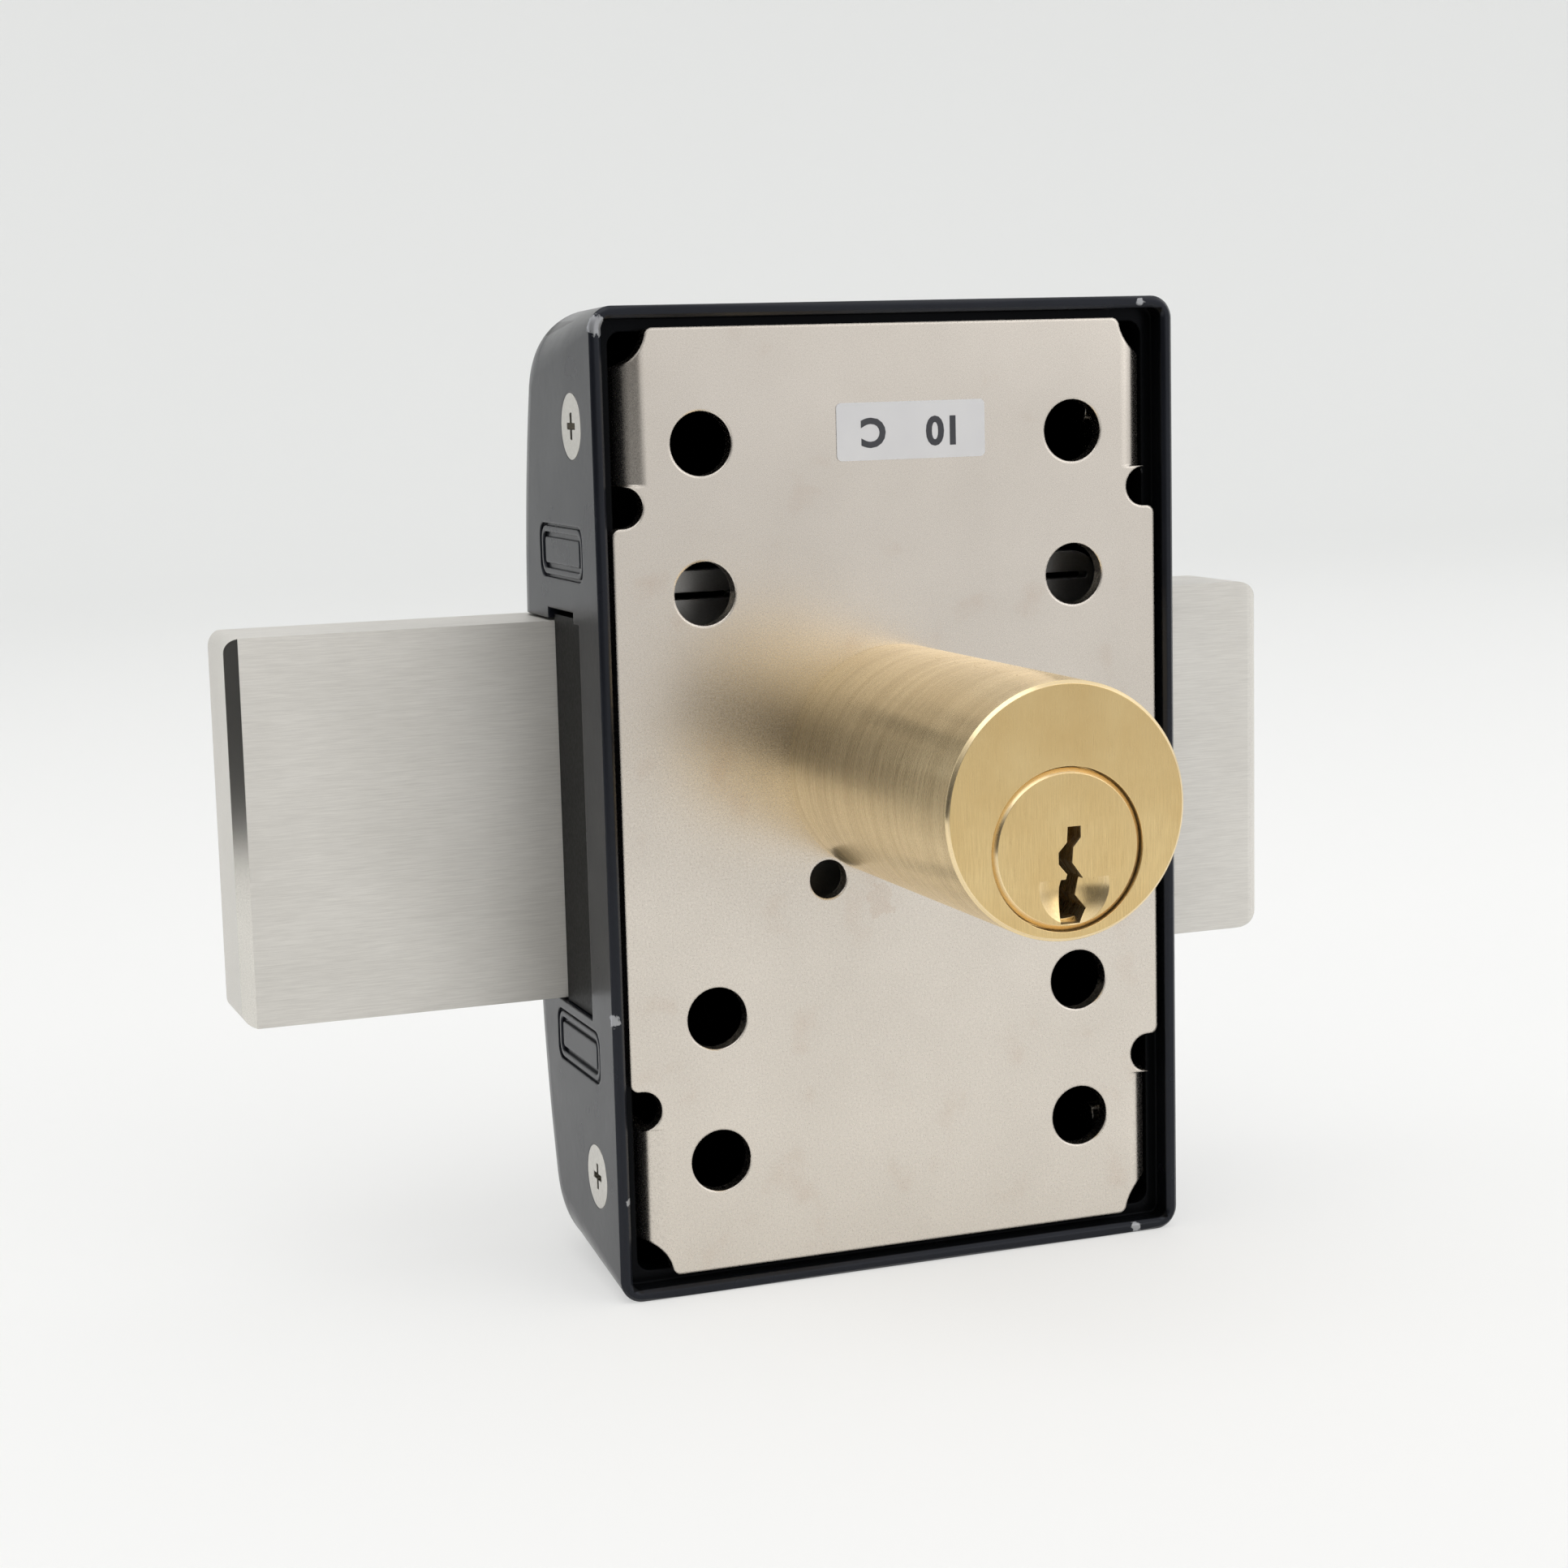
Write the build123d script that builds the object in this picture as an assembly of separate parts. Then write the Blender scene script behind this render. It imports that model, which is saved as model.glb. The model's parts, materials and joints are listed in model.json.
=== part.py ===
from build123d import *
import math
import os

# Rim box lock seen from the door side. A cast case is closed by a steel back plate. A flat bolt runs
# through the case and is driven by a rack and pinion. A brass pin cylinder stands out of the back plate
# and a turn knob stands on the front of the case.
# Frame: +X to the right, +Y from the door into the room, +Z up. The origin is where the axis of the
# key's plug crosses the plane of the case's rim. Lengths are in millimetres, angles in degrees.

# Fits
press_gap = 0.02
running_gap = 0.05
sliding_gap = 0.3
seat_gap = 0.1
cut_overrun = 1.0

# Case: a cast tray, open towards the door
case_width = 61.0
case_height = 96.4
case_depth = 30.3
case_wall = 2.4
case_front_wall = 2.1
case_flat_height = 28.0
case_crown_r = 100.0
case_corner_r = 9.0
case_side_r = 6.0
case_mouth_r = 2.2
cavity_mouth_r = 1.0
rim_wall = 1.2
rim_edge_r = 0.35

# Back plate, let into the rim, with four tabs bent into the case
plate_side_clearance = 0.65
plate_end_clearance = 0.9
plate_thickness = 1.6
plate_recess = 0.8
plate_corner_r = 0.8
corner_notch_r = 4.0
corner_notch_out = 0.15
blank_flare_r = 0.8
relief_r = 2.0
relief_from_end = 16.8
relief_reach = 3.1
tab_bend_r = 1.3
tab_clearance = 0.1
tab_length = 11.2
tab_from_end = 3.9

# Fixing holes in the back plate
fixing_hole_r = 3.1
fixing_from_side = 9.05
fixing_from_end = 11.0
fixing_step = 14.3
peg_hole_r = 1.95
peg_hole_wall = 0.2
peg_hole_angle = 236.1

# Paper label on the back plate
label_width = 15.7
label_height = 5.6
label_x = 2.15
label_from_end = 10.4
label_thickness = 0.1
label_corner_r = 0.5

# Side screws through the case into the tabs
side_screw_y = 7.1
side_screw_from_end = 9.1
side_screw_head_r = 3.2
side_screw_head_height = 1.7
side_screw_r = 1.5
side_screw_length = 7.0
side_screw_recess_r = 1.3
side_screw_recess_depth = 0.9

# Badge places on the left side, left bare
badge_y = 12.0
badge_above_slot = 5.7
badge_below_slot = 3.6
badge_length = 14.5
badge_height = 5.4
badge_corner_r = 1.4
badge_depth = 0.4

# Bolt and its slot in both sides of the case
bolt_left_reach = 62.9
bolt_right_reach = 50.2
bolt_height = 38.4
bolt_centre_z = -1.6
bolt_thickness = 11.0
bolt_front_clearance = 0.2
bolt_end_chamfer = 1.25
bolt_end_corner_r = 1.5
bolt_corner_r = 3.0
bolt_nose_r = 1.8
slot_near_y = 6.8
slot_relief_height = 1.1
slot_relief_near_y = 8.6

# Bolt guides: black inserts that fill the slots beside the bolt
guide_recess = 0.5
guide_slit = 0.7
guide_flange_thickness = 1.0
guide_flange_lap = 2.4
guide_lip_upper_root = 4.9
guide_lip_lower_root = 2.9

# Rack and pinion
gear_module = 2.0
pinion_teeth = 8
pressure_angle = 20.0
profile_shift_share = 0.53
pinion_tip_share = 0.87
pinion_root_share = 1.25
rack_tip_share = 0.95
rack_root_share = 1.25
tooth_backlash = 0.15
flank_points = 6
pinion_width_share = 0.372
rack_overhang = 0.2
rack_above_bolt_edge = 3.84
rack_end_land = 0.4
rivet_r_share = 0.3
rivet_depth = 5.0
rivet_count = 3

# Pinion shaft
shaft_r = 3.0
shaft_journal_r = 4.0
shaft_knob_depth = 11.9
drive_square = 4.1

# Bridge plate that carries the pinion shaft over the bolt
bridge_thickness_share = 0.138
bridge_pinion_gap = 0.5
bridge_side_clearance = 2.1
bridge_lower_step = 8.0
bridge_corner_r = 2.5
bridge_slit_below_hole = 0.8
bridge_slit_height = 0.7
bridge_slit_length = 11.0
bridge_slit_edge = 2.5
bridge_ear_edge = 4.0
post_r = 3.2
upper_post_x = 10.0
upper_post_clearance = 2.7
lower_post_x = 8.5
lower_post_clearance = 1.5
bush_wall = 1.2
bush_flange_wall = 2.1
bush_flange_thickness = 0.4

# Machine screws inside
machine_screw_r = 1.5
machine_head_r = 2.75
machine_head_height = 1.8
machine_head_edge_r = 0.5
bridge_screw_length = 10.0
screw_slot_width = 0.8
screw_slot_depth = 0.8

# Leaf spring that keeps the bolt from sliding by itself
brake_spring_thickness = 0.4
brake_spring_width = 6.0

# Pin cylinder
cylinder_r = 11.5
cylinder_lower_wall = 1.0
cylinder_reach = 37.2
cylinder_edge_chamfer = 0.3
plug_r = 6.35
plug_flange_lip = 0.82
plug_flange_thickness = 1.5
plug_flange_chamfer = 0.45
plug_ring_gap = 0.15
plug_tail_length = 1.7
plug_groove_depth = 0.9
cylinder_screw_angle = 34.0
cylinder_screw_depth = 9.0

# Pins and their springs
pin_count = 5
pin_pitch = 4.5
first_pin_from_face = 6.0
pin_r = 1.4
driver_length_share = 0.48
pin_spring_length_share = 0.26
pin_spring_wall = 0.4
chamber_plug_wall = 0.25
key_pin_point = 0.6
key_pin_length_shares = (0.86, 0.72, 0.95, 0.68, 0.8)
key_pin_full_length = 5.6
pin_chamber_below_axis = 0.6

# Keyway: its outline is given in shares of its width and height, from its lower left corner
keyway_width = 2.8
keyway_height = 8.6
keyway_left_x = -0.9
keyway_breakout = 0.25
keyway_end_from_tail = 7.5
keyway_left_shares = ((0.04, 0.0), (0.14, 0.37), (0.29, 0.51), (0.0, 0.62), (0.0, 0.74), (0.29, 0.84),
                      (0.32, 1.0))
keyway_right_shares = ((0.77, 1.0), (0.77, 0.88), (0.5, 0.78), (0.46, 0.63), (0.82, 0.47), (0.68, 0.28),
                       (1.0, 0.14), (0.71, 0.0))
key_recess_r = 3.4
key_recess_x = 0.6
key_recess_rim = 0.47
key_recess_top_step = 0.65
key_recess_depth = 0.9

# Clip and lost-motion coupling behind the plug
clip_thickness = 1.0
clip_rim = 1.0
clip_mouth_share = 0.75
plate_clip_gap = 0.3
cam_thickness_share = 0.103
cam_clearance = 0.6
dog_height_share = 0.165
dog_head_gap = 0.5
dog_angle = 36.0
dog_gap = 0.3
cam_screw_head_r = 2.4
cam_screw_head_share = 0.75
cam_screw_length = 6.0
tongue_width = 2.4
tongue_end_step = 1.85
tongue_height = 0.7

# Front bush, washer and turn knob
boss_r = 16.0
boss_height = 0.6
front_bush_r = 4.6
front_bush_flange_r = 6.5
front_bush_flange = 0.6
washer_thickness = 0.5
knob_r = 14.0
knob_base_height = 5.0
knob_wing_height = 12.0
knob_wing_end_gap = 1.0
knob_wing_width = 10.0
knob_wing_end_taper = 2.0
knob_wing_side_taper = 1.5
knob_edge_r = 1.2
grub_r = 1.75
grub_length = 6.0

# Worked out from the sizes above
case_half_width = case_width / 2
case_half_height = case_height / 2
cavity_half_width = case_half_width - case_wall
cavity_half_height = case_half_height - case_wall
cavity_y = case_depth - case_front_wall
plate_width = case_width - 2 * (rim_wall + plate_side_clearance)
plate_height = case_height - 2 * (rim_wall + plate_end_clearance)
plate_half_height = plate_height / 2
plate_inner_y = plate_recess + plate_thickness
relief_z = plate_half_height - relief_from_end
fixing_half_width = plate_width / 2 - fixing_from_side
fixing_outer_z = plate_half_height - fixing_from_end
fixing_inner_z = fixing_outer_z - fixing_step
label_z = plate_half_height - label_from_end
side_screw_z = plate_half_height - side_screw_from_end
tab_outer_x = cavity_half_width - tab_clearance
tab_bend_outer_r = tab_bend_r + plate_thickness
tab_bend_x = tab_outer_x - tab_bend_outer_r
notch_x = plate_width / 2 + corner_notch_out
notch_z = plate_half_height + corner_notch_out
tab_bottom_z = relief_z + relief_r
tab_top_z = plate_half_height - tab_from_end
bolt_far_y = cavity_y - bolt_front_clearance
bolt_near_y = bolt_far_y - bolt_thickness
bolt_top_z = bolt_centre_z + bolt_height / 2
bolt_bottom_z = bolt_centre_z - bolt_height / 2
slot_top_z = bolt_top_z + sliding_gap
slot_bottom_z = bolt_bottom_z - sliding_gap
slot_relief_top_z = slot_top_z + slot_relief_height
badge_places = (slot_relief_top_z + badge_above_slot, slot_bottom_z - badge_below_slot)

plug_tail_y = plate_recess + plug_tail_length
drive_room = bolt_near_y - plug_tail_y
cam_thickness = cam_thickness_share * drive_room
dog_height = dog_height_share * drive_room
bridge_thickness = bridge_thickness_share * drive_room
pinion_width = pinion_width_share * drive_room
cam_face_y = plug_tail_y + cam_thickness
tail_disc_y = cam_face_y + dog_height + dog_gap
pinion_far_y = bolt_near_y - sliding_gap
pinion_near_y = pinion_far_y - pinion_width
bridge_far_y = pinion_near_y - bridge_pinion_gap
bridge_near_y = bridge_far_y - bridge_thickness
journal_start_y = bridge_near_y - bush_flange_thickness - sliding_gap / 2
rack_near_y = pinion_near_y - rack_overhang

pitch_r = gear_module * pinion_teeth / 2
gear_pitch = math.pi * gear_module
profile_shift = profile_shift_share * gear_module
pinion_tip_r = pitch_r + profile_shift + pinion_tip_share * gear_module
pinion_root_r = pitch_r + profile_shift - pinion_root_share * gear_module
rack_line_z = -(pitch_r + profile_shift)
rack_tip_z = rack_line_z + rack_tip_share * gear_module
rack_root_z = rack_line_z - rack_root_share * gear_module
rack_bottom_z = bolt_bottom_z + rack_above_bolt_edge
rack_tooth_root = (gear_pitch / 4 - tooth_backlash / 2
                   + (rack_line_z - rack_root_z) * math.tan(math.radians(pressure_angle)))
rack_steps = int((cavity_half_width - rack_tooth_root - rack_end_land) / gear_pitch)
bolt_travel = rack_steps * gear_pitch
rivet_r = rivet_r_share * (rack_root_z - rack_bottom_z)

upper_post_z = bolt_top_z + upper_post_clearance + post_r
lower_post_z = bolt_bottom_z - lower_post_clearance - post_r
post_rows = ((upper_post_x, upper_post_z), (lower_post_x, lower_post_z))
posts = [(x * side, z) for x, z in post_rows for side in (-1, 1)]
bridge_half_width = cavity_half_width - bridge_side_clearance
bridge_slit_z = fixing_inner_z - bridge_slit_below_hole
bridge_top_z = bridge_slit_z + bridge_slit_edge
bridge_bottom_z = lower_post_z + bridge_lower_step
bush_r = shaft_journal_r + running_gap + bush_wall
shaft_slot_half_height = shaft_r + sliding_gap

plug_flange_r = plug_r + plug_flange_lip
plug_bore_r = plug_r + running_gap
cylinder_offset_z = cylinder_r - plug_flange_r - cylinder_lower_wall
cylinder_top_z = cylinder_offset_z + cylinder_r
peg_hole_reach = cylinder_r + peg_hole_wall + peg_hole_r
peg_hole_x = peg_hole_reach * math.cos(math.radians(peg_hole_angle))
peg_hole_z = cylinder_offset_z + peg_hole_reach * math.sin(math.radians(peg_hole_angle))
screw_across = math.cos(math.radians(cylinder_screw_angle))
screw_up = math.sin(math.radians(cylinder_screw_angle))
cylinder_at_screw = cylinder_offset_z * screw_up + math.sqrt(
    cylinder_r ** 2 - (cylinder_offset_z * screw_across) ** 2)
cylinder_screw_reach = (plug_bore_r + cylinder_at_screw) / 2
cylinder_screw_places = [(side * cylinder_screw_reach * screw_across, cylinder_screw_reach * screw_up)
                         for side in (-1, 1)]
chamber_r = pin_r + running_gap
shear_z = plug_bore_r + running_gap
chamber_room = cylinder_top_z - shear_z
driver_top_z = shear_z + driver_length_share * chamber_room
pin_spring_top_z = driver_top_z + pin_spring_length_share * chamber_room
chamber_plug_z = pin_spring_top_z + running_gap
chamber_plug_r = chamber_r + chamber_plug_wall
pin_places = [first_pin_from_face + step * pin_pitch - cylinder_reach for step in range(pin_count)]
key_pin_top_z = math.sqrt((plug_r - running_gap) ** 2 - pin_r ** 2)
keyway_bottom_z = -(plug_r + keyway_breakout)
key_recess_centre_z = key_recess_r + key_recess_rim - plug_flange_r
groove_near_y = plate_recess + seat_gap / 2
plate_bore_r = plug_r + clip_rim + plate_clip_gap
cam_r = cylinder_screw_reach - machine_head_r - cam_clearance
dog_inner_r = cam_screw_head_r + dog_head_gap
tongue_length = 2 * (plug_r - tongue_end_step)

boss_y = case_depth + boss_height
washer_y = boss_y + front_bush_flange
knob_y = washer_y + washer_thickness + seat_gap
knob_base_top_y = knob_y + knob_base_height
knob_top_y = knob_base_top_y + knob_wing_height
knob_wing_length = 2 * (knob_r - knob_wing_end_gap)
shaft_end_y = knob_y + shaft_knob_depth


# Helpers

def slab(sketch, start, end):
    """A sketch in X and Z, made thick along Y from start to end."""
    return extrude(Plane.XZ.offset(-end) * sketch, end - start)


def rod(radius, start, end, x=0, z=0):
    """A round rod along Y."""
    return slab(Pos(x, z) * Circle(radius), start, end)


def block(x_span, y_span, z_span):
    """A box between two limits on each axis."""
    spans = (x_span, y_span, z_span)
    size = [abs(high - low) for low, high in spans]
    middle = [(low + high) / 2 for low, high in spans]
    return Pos(*middle) * Box(*size)


def slab_up(sketch, start, end):
    """A sketch in X and Y, made thick along Z from start to end."""
    return extrude(Plane.XY.offset(start) * sketch, end - start)


def upright(radius, start, end, x, y):
    """A round rod along Z."""
    return slab_up(Pos(x, y) * Circle(radius), start, end)


def sector(inner, outer, middle_angle, spread):
    """A ring sector in X and Z about the key's axis."""
    ring = Circle(outer) - Circle(inner)
    reach = outer / math.cos(math.radians(spread / 2))
    edges = [math.radians(middle_angle + side * spread / 2) for side in (-1, 1)]
    corners = [(reach * math.cos(edge), reach * math.sin(edge)) for edge in edges]
    return ring & make_face(Polyline((0, 0), *corners, close=True))


def on_left(shape):
    """The shape turned over to the left side."""
    return mirror(shape, Plane.YZ)


# Case

def side_outline(half_height, depth, crown_r, corner_r):
    """The case seen from its side: flat back, crowned front and two rounded corners."""
    flat = case_flat_height / 2
    crown_y = depth - crown_r
    corner_z = half_height - corner_r
    corner_y = crown_y + math.sqrt((crown_r - corner_r) ** 2 - (corner_z - flat) ** 2)
    turn = math.degrees(math.atan2(corner_z - flat, corner_y - crown_y))
    upper = Curve() + [
        Line((0, 0), (0, half_height)),
        Line((0, half_height), (corner_y, half_height)),
        CenterArc((corner_y, corner_z), corner_r, turn, 90 - turn),
        CenterArc((crown_y, flat), crown_r, 0, turn),
        Line((depth, flat), (depth, 0)),
    ]
    return make_face(upper.edges() + mirror(upper, Plane.XZ).edges()), corner_y


def tray(half_width, half_height, depth, crown_r, corner_r, side_r, mouth_r):
    """A crowned box, whose upright corners widen from the mouth's radius to the side's radius."""
    outline, corner_y = side_outline(half_height, depth, crown_r, corner_r)
    body = extrude(Plane.YZ * outline, half_width, both=True)
    long_edges = [edge for edge in body.edges()
                  if abs(edge.center().X) > half_width - side_r and edge.center().Y > mouth_r]
    body = fillet(long_edges, side_r)
    front = body & block((-half_width, half_width), (corner_y, depth), (-half_height, half_height))
    mouth = Plane.XZ * RectangleRounded(2 * half_width, 2 * half_height, mouth_r)
    waist = Plane.XZ.offset(-corner_y) * RectangleRounded(2 * half_width, 2 * half_height, side_r)
    return loft([mouth, waist], ruled=True) + front


def case_side_cuts():
    """What is cut through the right side: the bolt slot with its relief and two countersunk holes."""
    x_span = (cavity_half_width - case_side_r, case_half_width + cut_overrun)
    cuts = block(x_span, (slot_near_y, cavity_y), (slot_bottom_z, slot_top_z))
    cuts += block(x_span, (slot_relief_near_y, bolt_near_y + sliding_gap), (slot_top_z, slot_relief_top_z))
    for z in (-side_screw_z, side_screw_z):
        screw = countersunk_screw(running_gap, side_screw_length)
        cuts += Plane((case_half_width, side_screw_y, z), z_dir=(1, 0, 0)) * screw
    return cuts


def make_case():
    """The cast tray with its ledge for the back plate, slots, posts and boss."""
    case = tray(case_half_width, case_half_height, case_depth, case_crown_r, case_corner_r, case_side_r,
                case_mouth_r)
    case -= tray(cavity_half_width, cavity_half_height, cavity_y, case_crown_r - case_front_wall,
                 case_corner_r - case_wall, case_side_r - case_wall, cavity_mouth_r)
    ledge = RectangleRounded(case_width - 2 * rim_wall, case_height - 2 * rim_wall, case_mouth_r - rim_wall)
    case -= slab(ledge, 0, plate_inner_y)
    for x, z in posts:
        case += rod(post_r, bridge_far_y, cavity_y, x, z)
    case += rod(boss_r, cavity_y, boss_y)
    for x, z in posts:
        case -= rod(machine_screw_r + press_gap, bridge_far_y, bridge_far_y + bridge_screw_length, x, z)
    case -= rod(front_bush_r + press_gap, cavity_y - cut_overrun, boss_y + cut_overrun)
    cuts = case_side_cuts()
    case -= cuts
    case -= on_left(cuts)
    for z in badge_places:
        place = Plane((-case_half_width, badge_y, z), x_dir=(0, 1, 0), z_dir=(-1, 0, 0))
        case -= extrude(place * RectangleRounded(badge_length, badge_height, badge_corner_r), -badge_depth)
    rim = [edge for edge in case.edges() if edge.center().Y < rim_wall / 4]
    return chamfer(rim, rim_edge_r)


# Back plate and what it carries

def plate_outline():
    """The back plate's blank: notched corners, reliefs beside the tabs and all its holes."""
    half_width = plate_width / 2
    half_height = plate_half_height
    outline = Rectangle(plate_width, plate_height)
    relief_x = half_width - relief_reach + relief_r
    mouth = half_width - relief_x + cut_overrun
    strip = half_width - tab_bend_x + cut_overrun
    strip_height = half_height - tab_bottom_z + cut_overrun
    places = [(side, end) for side in (-1, 1) for end in (-1, 1)]
    for side, end in places:
        outline -= Pos(side * notch_x, end * notch_z) * Circle(corner_notch_r)
        outline -= Pos(side * relief_x, end * relief_z) * Circle(relief_r)
        outline -= Pos(side * (relief_x + mouth / 2), end * relief_z) * Rectangle(mouth, 2 * relief_r)
    flares = [corner for corner in outline.vertices()
              if abs(corner.Y) > half_height - press_gap
              or (abs(corner.X) > half_width - press_gap and abs(corner.Y) < relief_z)]
    outline = fillet(flares, blank_flare_r)
    for side, end in places:
        outline -= Pos(side * (tab_bend_x + strip / 2), end * (tab_bottom_z + strip_height / 2)) * Rectangle(
            strip, strip_height)
        for z in (fixing_inner_z, fixing_outer_z):
            outline -= Pos(side * fixing_half_width, end * z) * Circle(fixing_hole_r)
    for x, z in cylinder_screw_places:
        outline -= Pos(x, z) * Circle(machine_screw_r + seat_gap)
    outline -= Pos(peg_hole_x, peg_hole_z) * Circle(peg_hole_r)
    return outline - Circle(plate_bore_r)


def make_tab():
    """One tab: a quarter bend up to the corner notch and a leg inside the case, with its screw hole."""
    bend_y = plate_recess + tab_bend_outer_r
    reach = tab_bend_outer_r + cut_overrun
    quarter = Pos(tab_bend_x + reach / 2, bend_y - reach / 2) * Rectangle(reach, reach)
    bend = (Pos(tab_bend_x, bend_y) * (Circle(tab_bend_outer_r) - Circle(tab_bend_r))) & quarter
    leg_length = plate_recess + tab_length - bend_y
    leg_middle = Pos(tab_outer_x - plate_thickness / 2, bend_y + leg_length / 2)
    leg = leg_middle * Rectangle(plate_thickness, leg_length)
    leg = slab_up(leg, tab_bottom_z, tab_top_z)
    corners = [edge for edge in leg.edges().filter_by(Axis.X) if edge.center().Y > bend_y + tab_bend_r]
    tab = fillet(corners, plate_corner_r) + (
        slab_up(bend, tab_bottom_z, plate_half_height)
        - rod(corner_notch_r, -cut_overrun, bend_y + cut_overrun, notch_x, notch_z))
    hole = Plane((cavity_half_width, side_screw_y, side_screw_z), z_dir=(-1, 0, 0)) * Circle(
        side_screw_r + running_gap)
    return tab - extrude(hole, plate_thickness + cut_overrun)


def make_back_plate():
    """The steel back plate with its four bent tabs."""
    plate = slab(plate_outline(), plate_recess, plate_inner_y)
    tab = make_tab()
    right = tab + mirror(tab, Plane.XY)
    return plate + right + on_left(right)


def make_label():
    """The paper label, printed side to the door."""
    outline = Pos(label_x, label_z) * RectangleRounded(label_width, label_height, label_corner_r)
    return slab(outline, plate_recess - label_thickness, plate_recess)


# Screws

def countersunk_screw(gap, length):
    """A countersunk screw along Z with its head's face at zero, or its hole when gap is the clearance."""
    neck = side_screw_head_height
    profile = Polyline(
        (0, 0), (side_screw_head_r + gap, 0), (side_screw_r + gap, -neck), (side_screw_r + gap, -length),
        (0, -length), close=True)
    return revolve(Plane.XZ * make_face(profile), Axis.Z)


def pan_screw(head_r, head_height, length):
    """A slotted pan-head machine screw along Z, seated at zero with its head upwards."""
    head = extrude(Circle(head_r), head_height)
    head = fillet(head.edges().group_by(Axis.Z)[-1], machine_head_edge_r)
    slot_middle = head_height - screw_slot_depth / 2
    head -= Pos(0, 0, slot_middle) * Box(2 * head_r, screw_slot_width, screw_slot_depth)
    return head + extrude(Circle(machine_screw_r), -length)


def make_side_screws():
    """Four bright screws, flush with the sides of the case."""
    screw = countersunk_screw(0, side_screw_length)
    recess = extrude(Rectangle(2 * side_screw_recess_r, side_screw_recess_r / 2)
                     + Rectangle(side_screw_recess_r / 2, 2 * side_screw_recess_r), -side_screw_recess_depth)
    screw -= recess
    upper = Plane((case_half_width, side_screw_y, side_screw_z), z_dir=(1, 0, 0)) * screw
    right = upper + mirror(upper, Plane.XY)
    return right + on_left(right)


def machine_screws(places, seat_y, head_side, length):
    """Slotted screws along Y, seated at a depth with their heads towards one side."""
    screw = pan_screw(machine_head_r, machine_head_height, length)
    return Part() + [Plane((x, seat_y, z), z_dir=(0, head_side, 0)) * screw for x, z in places]


def make_cylinder_screws():
    """Two screws through the back plate into the cylinder, driven from inside the case."""
    return machine_screws(cylinder_screw_places, plate_inner_y, 1, cylinder_screw_depth)


def make_bridge_screws():
    """Four screws through the bridge plate into the case's posts."""
    return machine_screws(posts, bridge_near_y, -1, bridge_screw_length)


# Bolt, rack and rivets

def make_bolt():
    """The through bolt, with chamfered locking end, rounded far end and a slot for the pinion shaft."""
    bolt = block((-bolt_left_reach, bolt_right_reach), (bolt_near_y, bolt_far_y),
                 (bolt_bottom_z, bolt_top_z))
    corners = bolt.edges().filter_by(Axis.Y).group_by(Axis.X)
    bolt = fillet(corners[-1], bolt_corner_r)
    nose = bolt.edges().filter_by(Axis.Z).group_by(Axis.X)[-1]
    bolt = fillet(nose, bolt_nose_r)
    end_corners = bolt.edges().filter_by(Axis.Y).group_by(Axis.X)[0]
    bolt = fillet(end_corners, bolt_end_corner_r)
    plan = Pos((bolt_right_reach - bolt_left_reach) / 2, (bolt_near_y + bolt_far_y) / 2) * Rectangle(
        bolt_left_reach + bolt_right_reach, bolt_thickness)
    plan = chamfer(plan.vertices().group_by(Axis.X)[0], bolt_end_chamfer)
    bolt &= slab_up(plan, bolt_bottom_z, bolt_top_z)
    slot = block((-bolt_travel - shaft_slot_half_height, shaft_slot_half_height),
                 (bolt_near_y - cut_overrun, bolt_far_y + cut_overrun),
                 (-shaft_slot_half_height, shaft_slot_half_height))
    bolt -= fillet(slot.edges().filter_by(Axis.Y), shaft_slot_half_height - running_gap)
    for x, z in rivet_places():
        bolt -= rod(rivet_r + press_gap, bolt_near_y - cut_overrun, bolt_near_y + rivet_depth, x, z)
    return bolt


def rack_teeth_places():
    """The middles of the rack's teeth at rest, as many as the case has room for."""
    return [-step * gear_pitch for step in range(rack_steps, -1, -1)]


def rivet_places():
    """The rivets, evenly spaced along the rack's bar."""
    teeth = rack_teeth_places()
    step = (teeth[-1] - teeth[0]) / (rivet_count - 1)
    z = (rack_root_z + rack_bottom_z) / 2
    return [(teeth[0] + place * step, z) for place in range(rivet_count)]


def make_rack():
    """The toothed bar on the bolt's near face."""
    teeth = rack_teeth_places()
    root = rack_tooth_root
    tip = root - (rack_tip_z - rack_root_z) * math.tan(math.radians(pressure_angle))
    left_end = teeth[0] - root - rack_end_land
    points = [(left_end, rack_bottom_z), (left_end, rack_root_z)]
    for x in teeth:
        points += [(x - root, rack_root_z), (x - tip, rack_tip_z)]
        points += [(x + tip, rack_tip_z), (x + root, rack_root_z)]
    right_end = teeth[-1] + root + rack_end_land
    points += [(right_end, rack_root_z), (right_end, rack_bottom_z)]
    rack = slab(make_face(Polyline(*points, close=True)), rack_near_y, bolt_near_y)
    for x, z in rivet_places():
        rack -= rod(rivet_r + press_gap, rack_near_y - cut_overrun, bolt_near_y + cut_overrun, x, z)
    return rack


def make_rack_rivets():
    """The rivets that hold the rack to the bolt."""
    return Part() + [rod(rivet_r, rack_near_y, bolt_near_y + rivet_depth, x, z) for x, z in rivet_places()]


# Pinion shaft and what turns with it

def involute(angle):
    """The involute function of an angle in radians."""
    return math.tan(angle) - angle


def tooth_half_angle(radius):
    """Half the angle that a pinion tooth takes at a radius, in radians."""
    pressure = math.radians(pressure_angle)
    base_r = pitch_r * math.cos(pressure)
    thickness = gear_module * (math.pi / 2 + 2 * profile_shift_share * math.tan(pressure)) - tooth_backlash
    at_radius = math.acos(min(base_r / radius, 1.0))
    return thickness / (2 * pitch_r) + involute(pressure) - involute(at_radius)


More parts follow.
